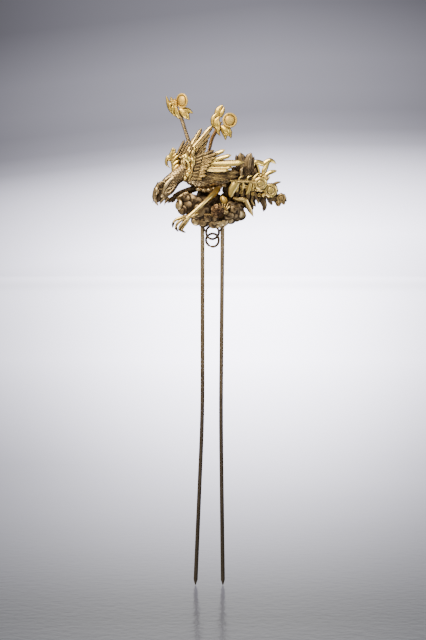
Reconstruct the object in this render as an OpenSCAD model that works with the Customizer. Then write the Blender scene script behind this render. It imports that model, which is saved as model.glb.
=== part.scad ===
// Buyao hairpin: a two-pronged hair fork that carries a phoenix on a dish of clouds.
// Millimetres, +Z up. The origin lies half way between the prongs, right under the base,
// where the fork meets the hair. The bird looks toward -X and is seen from -Y.

/* [Prongs] */
// Length of a prong from the seat to its tip
prong_len = 122.4; // [80:1:160]
// Diameter of a prong
prong_d = 1.4; // [1:0.1:2]
// Distance between the prongs' centres at the base
prong_pitch = 6.8; // [6.4:0.1:10]
// Length of a prong's pointed tip
prong_tip = 1.8; // [1:0.1:4]
// Angle by which the left prong bends outward on its way down
left_bend = 2.4; // [0.5:0.1:4]
// Angle by which the right prong bends outward on its way down
right_bend = 1.2; // [0.5:0.1:4]
// Angle by which the right prong leans inward above its bend
right_lean = 0.5; // [0:0.1:1]

/* [Rings] */
// Gap between a ring and the prong on each side of it
ring_play = 0.15; // [0.1:0.05:0.5]
// Thickness of a ring's wire
ring_wire = 0.5; // [0.3:0.05:0.6]
// Distance between the centres of the two rings
ring_step = 2.6; // [2.2:0.1:3.2]

/* [Base] */
// Diameter of the dish
dish_d = 16; // [13:0.5:20]
// Height of the dish's rim over its bottom
dish_h = 4; // [3:0.1:5]
// Thickness of the dish's wall
dish_wall = 0.8; // [0.6:0.05:1.2]
// Height of the dish's bottom over the seat
dish_lift = 1.1; // [0.9:0.1:2]
// Diameter of the post that carries the bird
post_d = 3.4; // [2.4:0.1:5]
// Height of the bird's belly over the seat
perch_h = 12.9; // [11:0.1:16]
// Height of the wreath of clouds
cloud_h = 6.8; // [5:0.1:9]
// Diameter of the blossom
blossom_d = 4.6; // [3.5:0.1:6]
// Length of the bud
bud_len = 3.4; // [2:0.1:5]

/* [Bird] */
// Length of the body from the breast to the root of the tail
body_len = 17; // [14:0.5:20]
// Height of the body
body_h = 7.5; // [6:0.1:9]
// Width of the body
body_d = 6.8; // [5.5:0.1:8.5]
// Length of the neck and head
neck_len = 13.6; // [11:0.2:16]
// Height of the crest
crest_h = 8.5; // [6:0.1:11]
// Length of the near leg from the belly to the ankle
leg_len = 12.2; // [10:0.2:15]
// Thickness of a leg
leg_d = 1.1; // [0.8:0.1:1.5]
// Length of a toe
toe_len = 6.8; // [5:0.1:9]

/* [Wings and tail] */
// Length of the near wing
wing_len = 17; // [13:0.5:21]
// Length of the far wing
far_wing_len = 13.6; // [10:0.2:17]
// Thickness of a feather
feather_t = 0.55; // [0.4:0.05:0.9]
// Length of the tail
tail_len = 20.4; // [16:0.4:25]
// Diameter of the largest eye plate of the tail
eye_d = 5.4; // [4:0.1:7]
// Length of a leaf-shaped tail feather
leaf_len = 8.5; // [6:0.1:11]

/* [Trembling ornaments] */
// Height of the left ornament over the bird's back
left_rise = 17; // [13:0.5:22]
// Height of the right ornament over the bird's back
right_rise = 12.6; // [10:0.5:16]
// Diameter of a spring's coil
coil_d = 1.15; // [1:0.05:1.6]
// Thickness of a spring's wire
coil_wire = 0.4; // [0.3:0.05:0.5]
// Rise of a spring for each turn
coil_pitch = 1; // [0.8:0.05:1.3]
// Length of an ornament's leaves
spray_len = 8.5; // [6:0.1:11]
// Diameter of the round plate on an ornament
disc_d = 5.2; // [4:0.1:6.5]

/* [Fit] */
// Gap between pieces that are seated on each other
seat_gap = 0.1; // [0.05:0.01:0.2]

/* [Hidden] */
$fn = 32;

// Colours of the metal: bright gilding, worn gilding and bare dark wire
bright_gilt = [0.86, 0.72, 0.36];
warm_gilt = [0.78, 0.60, 0.26];
worn_gilt = [0.55, 0.43, 0.20];
dark_wire = [0.36, 0.27, 0.16];

// Sides of a ball-shaped lobe and of a wire
ball_sides = 6;
wire_sides = 5;
coil_sides = 5;
// Width to which every pointed piece runs out
point_w = 0.16;
// Step in depth from one blade of a piece to the next
layer_step = 0.03;

// Prongs
socket_wall = 0.35;
sleeve_z = 0.5;
// Lap of one stretch of a prong into the next, so that they weld
weld = 0.002;
socket_depth = 3;
prong_point_d = 0.3;
// Shares of a prong's length: where its bend starts and how long the bend is
bend_start = 0.42;
bend_share = 0.2;

// Base, with the dish as part of a hollow ball
ball_r = (pow(dish_d / 2, 2) + dish_h * dish_h) / (2 * dish_h);
ball_z = dish_lift + ball_r;
rim_z = dish_lift + dish_h;
staple_wire = 0.4;
staple_r = ring_wire / 2 + staple_wire / 2 + 1.5 * seat_gap;

// Rings: as large as the gap between the prongs lets them be, and turned just enough
// to pass through each other with a gap
ring_r = (prong_pitch - prong_d - 2 * ring_play - ring_wire) / 2;
ring_cross = sqrt(ring_r * ring_r - ring_step * ring_step / 4);
ring_turn = asin((ring_wire + 2.2 * seat_gap) / (2 * ring_cross));
ring_top_z = dish_lift - seat_gap - ring_wire / 2;
staple_z = ring_top_z - (ring_wire + staple_wire + seat_gap) / 2 + staple_r;

// Bird: where its pieces are fastened
body_at = [-0.07 * body_len, 0, perch_h + body_h / 2];
neck_root = body_at + [-0.48 * body_len, 0, 0.34 * body_h];
tail_root = body_at + [0.44 * body_len, 0, -0.09 * body_h];
body_side = body_d / 2 + seat_gap;
near_shoulder = body_at + [-0.32 * body_len, -body_side - feather_t / 2, 0.91 * body_h];
far_shoulder = body_at + [-0.42 * body_len, body_side + feather_t / 2, 0.91 * body_h];
crest_at = neck_root + neck_len * [-0.275, 0, 0.01];

// Sections of the body as shares of its length, height and width:
// [along, up, half height, half width], from the root of the tail to the breast
BODY = [
    [0.50, -0.09, 0.10, 0.12],
    [0.40, -0.07, 0.22, 0.25],
    [0.24, -0.02, 0.37, 0.42],
    [0.06, 0.00, 0.46, 0.50],
    [-0.12, 0.00, 0.50, 0.50],
    [-0.28, 0.12, 0.47, 0.46],
    [-0.40, 0.25, 0.40, 0.38]
];
// Sections of the neck and head as shares of their length:
// [along, up, half height, half width], from the shoulders to the tip of the beak
NECK = [
    [0.00, 0.00, 0.215, 0.165],
    [-0.125, -0.075, 0.185, 0.145],
    [-0.275, -0.20, 0.180, 0.135],
    [-0.39, -0.33, 0.205, 0.150],
    [-0.475, -0.45, 0.205, 0.150],
    [-0.56, -0.58, 0.150, 0.115],
    [-0.625, -0.70, 0.090, 0.070],
    [-0.675, -0.81, 0.030, 0.030]
];

// Outlines of a blade's cross-section, across and out of its face
RIDGED = [[-1, 0], [0, 1], [1, 0], [0, -0.7]];
ROUND = [for (i = [0:wire_sides - 1]) [cos(i * 360 / wire_sides), -sin(i * 360 / wire_sides)]];

// How a blade's width runs from its root to its tip
FEATHER = [0.55, 0.95, 1.00, 0.92, 0.10];
LEAF = [0.40, 0.90, 1.00, 0.60, 0.06];
STRAND = [1.00, 1.00, 0.90, 0.65, 0.15];
EVEN = [1, 1];

function unit(v) = v / norm(v);

// Point at share t of the way along a smooth curve through the points p
function curve_at(p, t) =
    let (last = len(p) - 1,
         s = min(max(t, 0), 0.99999) * last,
         i = floor(s),
         u = s - i,
         a = p[max(i - 1, 0)],
         b = p[i],
         c = p[i + 1],
         d = p[min(i + 2, last)])
    0.5 * (2 * b + (c - a) * u + (2 * a - 5 * b + 4 * c - d) * u * u
        + (3 * b - a - 3 * c + d) * u * u * u);

// Straight reading of the table p at share t
function table_at(p, t) =
    let (s = min(max(t, 0), 0.99999) * (len(p) - 1), i = floor(s))
    p[i] + (p[i + 1] - p[i]) * (s - i);

// Turns rows of [x, y, z] shares into points, from a root and a length
function placed(rows, at, size) = [for (r = rows) at + size * [r.x, r.y, r.z]];

// One ring of a sweep: an outline of half width w and half thickness h round the point c
function ring_of(outline, c, along, face, w, h) =
    let (side = unit(cross(along, face)), out = cross(side, along))
    [for (q = outline) c + side * w * q.x + out * h * q.y];

// Direction of the curve p at share t
function along_at(p, t) = unit(curve_at(p, min(t + 0.01, 1)) - curve_at(p, max(t - 0.01, 0)));

// Closed skin over a row of rings with as many points each
module skin(rings) {
    n = len(rings[0]);
    last = len(rings) - 1;
    sides = [for (j = [0:last - 1], i = [0:n - 1], half = [0, 1])
        let (k = (i + 1) % n)
        half == 0 ? [j * n + i, (j + 1) * n + k, j * n + k]
                  : [j * n + i, (j + 1) * n + i, (j + 1) * n + k]];
    first_end = [for (i = [1:n - 2]) [0, i, i + 1]];
    last_end = [for (i = [1:n - 2]) [last * n, last * n + i + 1, last * n + i]];
    polyhedron(points = [for (r = rings) each r], faces = concat(sides, first_end, last_end));
}

// Rings of a blade along the points p, from share a to share b of its length:
// w is its full width, t its full thickness
function blade_rings(p, w, t, shape, outline, face, steps, a = 0, b = 1) =
    [for (j = [0:steps])
        let (s = a + (b - a) * j / steps, k = table_at(shape, s))
        ring_of(outline, curve_at(p, s), along_at(p, s), face,
            max(w * k, point_w) / 2, max(t * (0.4 + 0.6 * k), point_w) / 2)];

// A bent blade, made of convex stretches that lap over each other
module blade(p, w, t, shape = LEAF, outline = RIDGED, face = [0, -1, 0], parts = 1, steps = 2) {
    lap = 0.02;
    for (i = [0:parts - 1])
        hull() skin(blade_rings(p, w, t, shape, outline, face, steps,
            max(i / parts - lap, 0), (i + 1) / parts));
}

// A feather: a straight ridged blade
module feather(a, b, w, t, face = [0, -1, 0]) {
    hull() skin(blade_rings([a, mixed(a, b, 0.5), b], w, t, FEATHER, RIDGED, face, 3));
}

function mixed(a, b, t) = a + (b - a) * t;

// A rounded lobe, turned by its place so that no two lobes have faces in line
module lobe(at, r, flat = 1) {
    translate(at) rotate([44 * at.z / dish_h, 592 * at.x / dish_d, 0])
        hull() scale([1, flat, 1]) sphere(r, $fn = ball_sides);
}

// A scroll: a wire wound inward round its centre, seen from the front
module scroll(at, r, wire, turns = 1.2, start = 0, hand = 1) {
    steps = ceil(turns * 6);
    p = [for (j = [0:steps])
        let (s = j / steps, a = start + hand * 360 * turns * s, q = r * (1 - 0.62 * s))
        at + [q * cos(a), -0.3 * wire * s, q * sin(a)]];
    skin([for (j = [0:steps])
        ring_of(ROUND, p[j], unit(p[min(j + 1, steps)] - p[max(j - 1, 0)]), [0, -1, 0],
            wire / 2 * (1 - 0.3 * j / steps), wire / 2)]);
}

// A straight prong that bends sideways on its way down, from a socket at the origin
module bent_prong(bend) {
    upper = prong_len * bend_start;
    arc = prong_len * bend_share;
    lower = prong_len - upper - arc - prong_tip;
    arc_r = arc * 180 / (PI * bend);
    translate([0, 0, -upper]) cylinder(h = upper + socket_depth - seat_gap, d = prong_d);
    translate([-arc_r, 0, -upper]) rotate([-90, 0, 0])
        rotate_extrude(angle = bend, $fn = 96) translate([arc_r, 0]) circle(d = prong_d);
    translate([-arc_r * (1 - cos(bend)), 0, -upper - arc_r * sin(bend)]) rotate([0, bend, 0]) {
        translate([0, 0, -lower]) cylinder(h = lower + weld, d = prong_d);
        translate([0, 0, -lower - prong_tip])
            cylinder(h = prong_tip, d1 = prong_point_d, d2 = prong_d);
    }
}

module prong_left() {
    color(worn_gilt) translate([-prong_pitch / 2, 0, 0]) bent_prong(left_bend);
}

module prong_right() {
    color(worn_gilt) translate([prong_pitch / 2, 0, 0]) rotate([0, right_lean, 0])
        rotate([0, 0, 180]) bent_prong(right_bend);
}

module wire_ring(turn) {
    rotate([0, 0, turn]) rotate([90, 0, 0])
        rotate_extrude($fn = 64) translate([ring_r, 0]) circle(d = ring_wire);
}

module ring_upper() {
    color(dark_wire) translate([0, 0, ring_top_z - ring_r]) wire_ring(ring_turn);
}

module ring_lower() {
    color(dark_wire) translate([0, 0, ring_top_z - ring_r - ring_step]) wire_ring(-ring_turn);
}

// The dish is a slice of a hollow ball, with a sleeve for each prong, a post and a staple
module base_dish() {
    bore_d = prong_d + seat_gap;
    sleeve_h = socket_depth + socket_wall - sleeve_z;
    color(worn_gilt) difference() {
        union() {
            intersection() {
                difference() {
                    translate([0, 0, ball_z]) sphere(ball_r, $fn = 64);
                    translate([0, 0, ball_z]) sphere(ball_r - dish_wall, $fn = 64);
                }
                translate([0, 0, dish_lift - dish_wall])
                    cylinder(h = dish_h + dish_wall, d = 2 * dish_d);
            }
            translate([-prong_pitch / 2, 0, sleeve_z])
                cylinder(h = sleeve_h, d = bore_d + 2 * socket_wall);
            translate([prong_pitch / 2, 0, 0]) rotate([0, right_lean, 0])
                translate([0, 0, sleeve_z])
                    cylinder(h = sleeve_h, d = bore_d + 2 * socket_wall);
            translate([0, 0, dish_lift + dish_wall / 2])
                cylinder(h = perch_h - seat_gap - dish_lift - dish_wall / 2, d = post_d);
            translate([0, 0, staple_z]) rotate([0, 90, 0]) rotate([0, 0, -90])
                rotate_extrude(angle = 180) translate([staple_r, 0]) circle(d = staple_wire);
            for (y = [-staple_r, staple_r]) translate([0, y, staple_z])
                cylinder(h = dish_lift + dish_wall / 2 - staple_z, d = staple_wire);
        }
        translate([-prong_pitch / 2, 0, -dish_wall])
            cylinder(h = socket_depth + dish_wall, d = bore_d);
        translate([prong_pitch / 2, 0, 0]) rotate([0, right_lean, 0])
            translate([0, 0, -dish_wall]) cylinder(h = socket_depth + dish_wall, d = bore_d);
    }
}

// Room that the dish takes up, with the gap that its neighbours keep: its flats lie
// outside the round dish
room_sides = 22;
room_growth = 1 / cos(180 / room_sides);

module dish_room() {
    intersection() {
        difference() {
            translate([0, 0, ball_z])
                sphere((ball_r + seat_gap) * room_growth, $fn = room_sides);
            translate([0, 0, ball_z]) sphere(ball_r - dish_wall - seat_gap, $fn = room_sides);
        }
        translate([0, 0, dish_lift - dish_wall])
            cylinder(h = dish_h + dish_wall + seat_gap, d = 2 * dish_d, $fn = room_sides);
    }
    cylinder(h = perch_h, d = post_d + 3 * seat_gap, $fn = 14);
    for (x = [-prong_pitch / 2, prong_pitch / 2]) translate([x, 0, 0])
        cylinder(h = socket_depth + socket_wall + 2 * seat_gap,
                 d = prong_d + 2 * socket_wall + 4 * seat_gap, $fn = 14);
}

// Sections of the body, neck and head in millimetres: [x, z, half height, half width]
BODY_ROWS = concat(
    [for (r = BODY) [body_at.x + r[0] * body_len, body_at.z + r[1] * body_h,
                     r[2] * body_h, r[3] * body_d]],
    [for (r = NECK) [neck_root.x + r[0] * neck_len, neck_root.z + r[1] * neck_len,
                     r[2] * neck_len, r[3] * neck_len]]);
body_sides = 10;
OVAL = [for (i = [0:body_sides - 1]) [cos(i * 360 / body_sides), -sin(i * 360 / body_sides)]];
// Rows between which the body, the neck, the head and the beak are each one convex stretch
STRETCHES = [[0, 6], [5, 9], [9, 12], [12, 14]];

// Ring round the body at its row i, grown by a gap
function body_ring(i, grow) =
    let (last = len(BODY_ROWS) - 1,
         v = BODY_ROWS[i],
         d = along_at(BODY_ROWS, i / last),
         along = unit([d[0], 0, d[1]]),
         past = i == 0 ? -grow : i == last ? grow : 0)
    ring_of(OVAL, [v[0], 0, v[1]] + past * along, along, [0, -1, 0], v[2] + grow, v[3] + grow);

// The bird from the root of the tail to the tip of the beak
module body_skin(grow = 0) {
    for (q = STRETCHES)
        hull() skin([for (i = [q[0]:q[1]]) body_ring(i, grow)]);
}

// Rows of belly lobes as shares of the body: [along, side, up, radius by the height]
BELLY = [
    [-0.14, -0.26, -0.38, 0.12],
    [0.00, -0.28, -0.39, 0.14],
    [0.14, -0.26, -0.33, 0.12]
];

// Rounded feathers under the belly, grown by a gap
module belly(grow = 0) {
    for (side = [-1, 1], r = BELLY)
        lobe(body_at + [r[0] * body_len, side * r[1] * body_d, r[2] * body_h],
            r[3] * body_h + grow);
}

// Room that the bird takes up, with the gap that its neighbours keep
module body_room() {
    body_skin(seat_gap);
    belly(seat_gap);
}

module phoenix_body() {
    eye = neck_root + neck_len * [-0.575, 0, -0.335];
    mouth_h = 0.008 * neck_len;
    color(worn_gilt) difference() {
        union() {
            body_skin();
            belly();
            for (side = [-1, 1]) {
                lobe(eye + [0, side * 0.105 * neck_len, 0], 0.055 * neck_len);
                scroll(neck_root + neck_len * [-0.26, side * 0.12, -0.275],
                    0.06 * neck_len, 0.037 * neck_len, 1.1);
            }
            blade([neck_root + neck_len * [-0.66, 0, -0.66],
                   neck_root + neck_len * [-0.73, 0, -0.70],
                   neck_root + neck_len * [-0.80, 0, -0.73]],
                0.05 * neck_len, 0.045 * neck_len, STRAND, ROUND);
        }
        // The open beak
        hull() {
            translate(neck_root + neck_len * [-0.60, 0, -0.62])
                cube([mouth_h, body_d, mouth_h], center = true);
            translate(neck_root + neck_len * [-0.72, 0, -0.83])
                cube([5 * mouth_h, body_d, mouth_h], center = true);
        }
    }
}

// Strands of the crest as shares of its height: width first, then points [along, side, up]
CREST = [
    [0.085, [[0.02, 0, -0.14], [0.01, 0, 0.16], [-0.03, 0, 0.40], [-0.08, 0, 0.62]]],
    [0.085, [[-0.07, 0, 0.54], [-0.20, 0, 0.55], [-0.28, 0, 0.40], [-0.26, 0, 0.22],
             [-0.18, 0, 0.15], [-0.11, 0, 0.18]]],
    [0.09, [[-0.10, 0, 0.50], [-0.19, 0, 0.66], [-0.12, 0, 0.82], [-0.05, 0, 0.98]]],
    [0.08, [[-0.04, 0, 0.50], [-0.05, 0, 0.72], [0.01, 0, 0.90]]],
    [0.12, [[-0.04, 0, 0.42], [0.06, 0, 0.50], [0.17, 0, 0.63]]],
    [0.12, [[-0.01, 0, 0.22], [0.07, 0, 0.29], [0.17, 0, 0.42]]],
    [0.12, [[0.01, 0, 0.02], [0.08, 0, 0.08], [0.16, 0, 0.23]]]
];

module crest() {
    color(bright_gilt) difference() {
        for (i = [0:len(CREST) - 1]) {
            r = CREST[i];
            blade(placed(r[1], crest_at + [0, i * layer_step, 0], crest_h), r[0] * crest_h,
                feather_t, parts = len(r[1]) - 2);
        }
        body_skin(seat_gap);
    }
}

// Lobes of the ruff where wing and breast meet, as shares of the wing's length, from the
// shoulder: [along, up, radius, length], from the lowest to the highest
RUFF = [
    [-0.150, -0.362, 0.031, 0.018],
    [-0.100, -0.287, 0.044, 0.026],
    [-0.050, -0.207, 0.049, 0.026],
    [-0.100, -0.159, 0.035, 0.132],
    [-0.150, -0.084, 0.035, 0.150],
    [-0.080, -0.075, 0.035, 0.150],
    [-0.130, 0.044, 0.057, 0.053],
    [-0.060, 0.044, 0.053, 0.044],
    [0.010, 0.137, 0.053, 0.071]
];
// Lobes that a band runs through, and its width as a share of the wing's length
RUFF_BAND = [0, 2, 4, 5, 8];
ruff_band = 0.04;

module shoulder_ruff() {
    front = [0, -feather_t / 2 - seat_gap, 0];
    at = [for (r = RUFF) near_shoulder + front + [r[0], 0, r[1]] * wing_len];
    color(bright_gilt) difference() {
        union() {
            for (i = [0:len(RUFF) - 1]) {
                r = RUFF[i][2] * wing_len;
                reach = [0.3, 0, 1] * RUFF[i][3] * wing_len / 2;
                hull() for (end = [-1, 1])
                    translate(at[i] + end * reach) scale([1, 0.6, 1])
                        sphere(r, $fn = ball_sides);
            }
            blade([for (i = RUFF_BAND) at[i]], ruff_band * wing_len, ruff_band * wing_len, EVEN,
                parts = len(RUFF_BAND) - 1, steps = 1);
        }
        body_skin(seat_gap);
        wing_near_shape(seat_gap);
    }
}

// Feathers of the near wing as shares of its length, from the shoulder:
// [root along, root up, tip along, tip up, width, layer]; layer 0 lies on the body's side
NEAR_FEATHERS = [
    [0.22, 0.08, 0.63, 0.176, 0.075, 0],
    [0.24, 0.03, 0.76, 0.090, 0.085, 0],
    [0.24, -0.04, 1.00, -0.060, 0.105, 0],
    [0.24, -0.10, 0.76, -0.144, 0.08, 0],
    [0.20, -0.16, 0.72, -0.206, 0.075, 0],
    [0.14, -0.22, 0.58, -0.290, 0.08, 0],
    [-0.04, -0.24, 0.40, -0.350, 0.09, 0],
    [0.02, 0.08, 0.43, 0.196, 0.068, 1],
    [0.02, 0.04, 0.46, 0.110, 0.068, 1],
    [0.02, -0.01, 0.42, 0.020, 0.068, 1],
    [0.02, -0.06, 0.38, -0.060, 0.068, 1],
    [0.02, -0.11, 0.34, -0.130, 0.068, 1],
    [0.01, -0.16, 0.28, -0.210, 0.068, 1],
    [0.00, -0.22, 0.22, -0.280, 0.068, 1]
];
NEAR_ARM = [[-0.07, 0, -0.36], [-0.03, 0, -0.20], [0.01, 0, -0.04], [0.05, 0, 0.16]];
// How far a wing's tips stand out from the body, as a share of their reach
near_spread = -0.12;
far_spread = 0.15;

module wing_near_shape(grow = 0) {
    for (r = NEAR_FEATHERS) {
        lift = -r[5] * feather_t * 0.4;
        feather(near_shoulder + wing_len * [r[0], near_spread * r[0], r[1]] + [0, lift, 0],
            near_shoulder + wing_len * [r[2], near_spread * r[2], r[3]] + [0, lift, 0],
            r[4] * wing_len + 2 * grow, feather_t + 2 * grow);
    }
    blade(placed(NEAR_ARM, near_shoulder, wing_len), 0.11 * wing_len + 2 * grow,
        1.2 * feather_t + 2 * grow, EVEN);
}

module wing_near() {
    color(bright_gilt) difference() {
        wing_near_shape();
        body_skin(seat_gap);
    }
}

// Feathers of the far wing as shares of its length, in the same columns
FAR_FEATHERS = [
    [-0.05, 0.10, -0.060, 0.45, 0.085, 0],
    [0.00, 0.10, 0.340, 0.76, 0.105, 0],
    [0.05, 0.15, 0.600, 0.825, 0.10, 0],
    [0.075, 0.125, 0.560, 0.60, 0.08, 0],
    [0.125, 0.10, 0.460, 0.39, 0.09, 0],
    [0.175, 0.05, 0.450, 0.25, 0.09, 0],
    [-0.20, 0.00, -0.190, 0.325, 0.09, 1],
    [-0.15, 0.00, -0.105, 0.48, 0.09, 1],
    [-0.075, 0.00, 0.050, 0.40, 0.10, 1],
    [0.00, 0.00, 0.225, 0.325, 0.10, 1],
    [0.06, -0.02, 0.300, 0.20, 0.10, 1],
    [-0.24, -0.05, -0.270, 0.175, 0.08, 1]
];
FAR_ARM = [[0.20, 0, -0.45], [0.10, 0, -0.20], [-0.08, 0, -0.03], [-0.25, 0.02, 0.06]];

module wing_far() {
    color(warm_gilt) difference() {
        union() {
            for (r = FAR_FEATHERS) {
                lift = -r[5] * feather_t * 0.4;
                feather(far_shoulder + far_wing_len * [r[0], far_spread * abs(r[0]), r[1]]
                        + [0, lift, 0],
                    far_shoulder + far_wing_len * [r[2], far_spread * r[3], r[3]]
                        + [0, lift, 0],
                    r[4] * far_wing_len, feather_t);
            }
            blade(placed(FAR_ARM, far_shoulder, far_wing_len), 0.16 * far_wing_len,
                1.2 * feather_t, EVEN);
        }
        body_skin(seat_gap);
    }
}

// Legs: the near one reaches forward past the clouds, the far one stays behind the head
near_hip = body_at + [0.14 * body_len, -0.30 * body_d, -0.42 * body_h];
leg_front = -dish_d / 2 - 1.2;
near_leg_path = [
    near_hip,
    [near_hip.x - 0.16 * leg_len, mixed(near_hip.y, leg_front, 0.55), near_hip.z - 0.16 * leg_len],
    [near_hip.x - 0.40 * leg_len, mixed(near_hip.y, leg_front, 0.95), near_hip.z - 0.375 * leg_len],
    [near_hip.x - 0.73 * leg_len, leg_front, near_hip.z - 0.686 * leg_len]
];
near_ankle = near_leg_path[3];

// Toes as shares of a toe's length, [along, side, up] from the ankle to the claw
NEAR_TOES = [
    [[0.05, 0, 0.05], [-0.2, -0.02, -0.05], [-0.5, -0.05, -0.125], [-0.725, -0.05, -0.2],
     [-0.84, -0.02, -0.375], [-0.85, 0, -0.525]],
    [[0.02, 0, 0], [-0.15, 0, -0.15], [-0.4, 0, -0.275], [-0.625, 0, -0.425],
     [-0.7, 0, -0.625], [-0.55, 0, -0.775]],
    [[0.025, 0, -0.02], [-0.075, 0.04, -0.275], [-0.3, 0.08, -0.475], [-0.415, 0.08, -0.625],
     [-0.375, 0.06, -0.76], [-0.235, 0.04, -0.79]],
    [[0.45, 0, 0.22], [0.22, -0.06, 0.0], [0.02, -0.02, -0.06]]
];
FAR_TOES = [
    [[0.06, 0, 0.02], [-0.25, 0.02, -0.175], [-0.5, 0.04, -0.35], [-0.675, 0.04, -0.44],
     [-0.69, 0.02, -0.575]],
    [[0.05, 0, 0], [-0.125, -0.05, -0.125], [-0.185, -0.1, -0.3]],
    [[0.08, 0, 0], [0.13, -0.05, -0.17], [0.1, -0.1, -0.3]]
];

module foot(toes, at) {
    toe_d = 0.75 * leg_d;
    for (t = toes) {
        p = placed(t, at, toe_len);
        blade(p, toe_d, toe_d, STRAND, ROUND, parts = ceil(len(t) / 2));
    }
    lobe(at, leg_d * 0.62);
}

module leg_near() {
    color(bright_gilt) difference() {
        union() {
            blade(near_leg_path, leg_d, leg_d, [1.25, 1, 0.9, 0.9], ROUND, parts = 3);
            foot(NEAR_TOES, near_ankle);
        }
        body_room();
    }
}

far_hip = body_at + [-0.24 * body_len, 0.28 * body_d, -0.30 * body_h];
far_ankle = [far_hip.x - 0.52 * leg_len, 0.17 * neck_len + leg_d, far_hip.z - 0.30 * leg_len];

module leg_far() {
    color(worn_gilt) difference() {
        union() {
            blade([far_hip, mixed(far_hip, far_ankle, 0.5) + [0, 0, -0.03 * leg_len], far_ankle],
                1.3 * leg_d, 1.1 * leg_d, [1.2, 1, 0.85], ROUND);
            foot(FAR_TOES, far_ankle);
            for (s = [0.25, 0.75]) lobe(mixed(far_hip, far_ankle, s), 0.6 * leg_d);
        }
        body_room();
    }
}

// Layers of the tail from front to back
spine_t = 1.45 * feather_t;
top_y = -0.265 * body_d;
crown_y = top_y + (spine_t + feather_t) / 2 + seat_gap;
flame_y = crown_y + feather_t + seat_gap;
middle_y = flame_y + (spine_t + feather_t) / 2 + seat_gap;
low_leaf_y = middle_y + (spine_t + feather_t) / 2 + seat_gap;
low_y = low_leaf_y + (spine_t + feather_t) / 2 + seat_gap;

// Spines and barbs of the tail's plumes as shares of its length: width, then [along, up]
TOP_SPINE = [[-0.04, 0], [0.15, 0.01], [0.32, 0], [0.42, -0.01], [0.49, -0.025]];
TOP_BARBS = [
    [0.115, [[0.02, -0.01], [-0.01, -0.15], [0.02, -0.30]]],
    [0.045, [[0.19, 0.00], [0.19, -0.08], [0.185, -0.16]]],
    [0.06, [[0.32, -0.01], [0.31, -0.12], [0.25, -0.225]]],
    [0.06, [[0.38, -0.01], [0.425, -0.08], [0.46, -0.14]]],
    [0.045, [[0.36, 0.00], [0.39, 0.08], [0.44, 0.14]]],
    [0.05, [[0.10, 0.00], [0.15, 0.05], [0.22, 0.06]]]
];
MIDDLE_SPINE = [[-0.03, -0.03], [0.22, -0.09], [0.45, -0.14], [0.66, -0.14]];
MIDDLE_BARBS = [
    [0.08, [[0.16, -0.05], [0.15, -0.16], [0.10, -0.26]]],
    [0.07, [[0.30, -0.10], [0.30, -0.18], [0.24, -0.27]]],
    [0.07, [[0.42, -0.12], [0.46, -0.19], [0.44, -0.28]]],
    [0.05, [[0.53, -0.14], [0.53, -0.20], [0.55, -0.24]]],
    [0.05, [[0.66, -0.05], [0.74, -0.02], [0.825, 0.00]]]
];
LOW_SPINE = [[-0.02, -0.05], [0.25, -0.19], [0.52, -0.25], [0.82, -0.27]];
LOW_BARBS = [
    [0.09, [[0.60, -0.24], [0.66, -0.31], [0.67, -0.38]]],
    [0.10, [[0.72, -0.26], [0.77, -0.34], [0.78, -0.40]]],
    [0.06, [[0.84, -0.20], [0.90, -0.26], [0.925, -0.32]]],
    [0.06, [[0.80, -0.22], [0.86, -0.18], [0.89, -0.22]]],
    [0.10, [[0.54, -0.23], [0.56, -0.37], [0.54, -0.50]]],
    [0.07, [[0.37, -0.20], [0.42, -0.30], [0.44, -0.375]]],
    [0.075, [[0.27, -0.18], [0.35, -0.31], [0.40, -0.405]]]
];

function in_tail(rows, y) = [for (r = rows) tail_root + [r[0] * tail_len, y, r[1] * tail_len]];

// A plume: a spine with barbs that ends in a round eye plate with a boss
module tail_plume(spine, barbs, y, eye_share) {
    at = in_tail([spine[len(spine) - 1]], y)[0] + [0, -0.3 * spine_t, 0];
    r = eye_share * eye_d / 2;
    blade(in_tail(spine, y), 0.05 * tail_len, spine_t, [0.9, 1, 0.9, 0.8],
        parts = 2);
    for (i = [0:len(barbs) - 1])
        blade(in_tail(barbs[i][1], y + (i - 2) * layer_step), barbs[i][0] * tail_len, feather_t);
    translate(at) rotate([90, 0, 0]) {
        cylinder(h = spine_t, r = r, center = true, $fn = 16);
        translate([0, 0, spine_t / 2]) cylinder(h = 0.3 * spine_t, r1 = 0.6 * r, r2 = 0.4 * r, $fn = 12);
    }
}

module tail_plume_top() {
    color(bright_gilt) difference() {
        tail_plume(TOP_SPINE, TOP_BARBS, top_y, 0.88);
        body_skin(seat_gap);
    }
}

module tail_plume_middle() {
    color(bright_gilt) difference() {
        tail_plume(MIDDLE_SPINE, MIDDLE_BARBS, middle_y, 1);
        body_skin(seat_gap);
    }
}

module tail_plume_low() {
    color(warm_gilt) difference() {
        tail_plume(LOW_SPINE, LOW_BARBS, low_y, 0.72);
        body_skin(seat_gap);
    }
}

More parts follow.
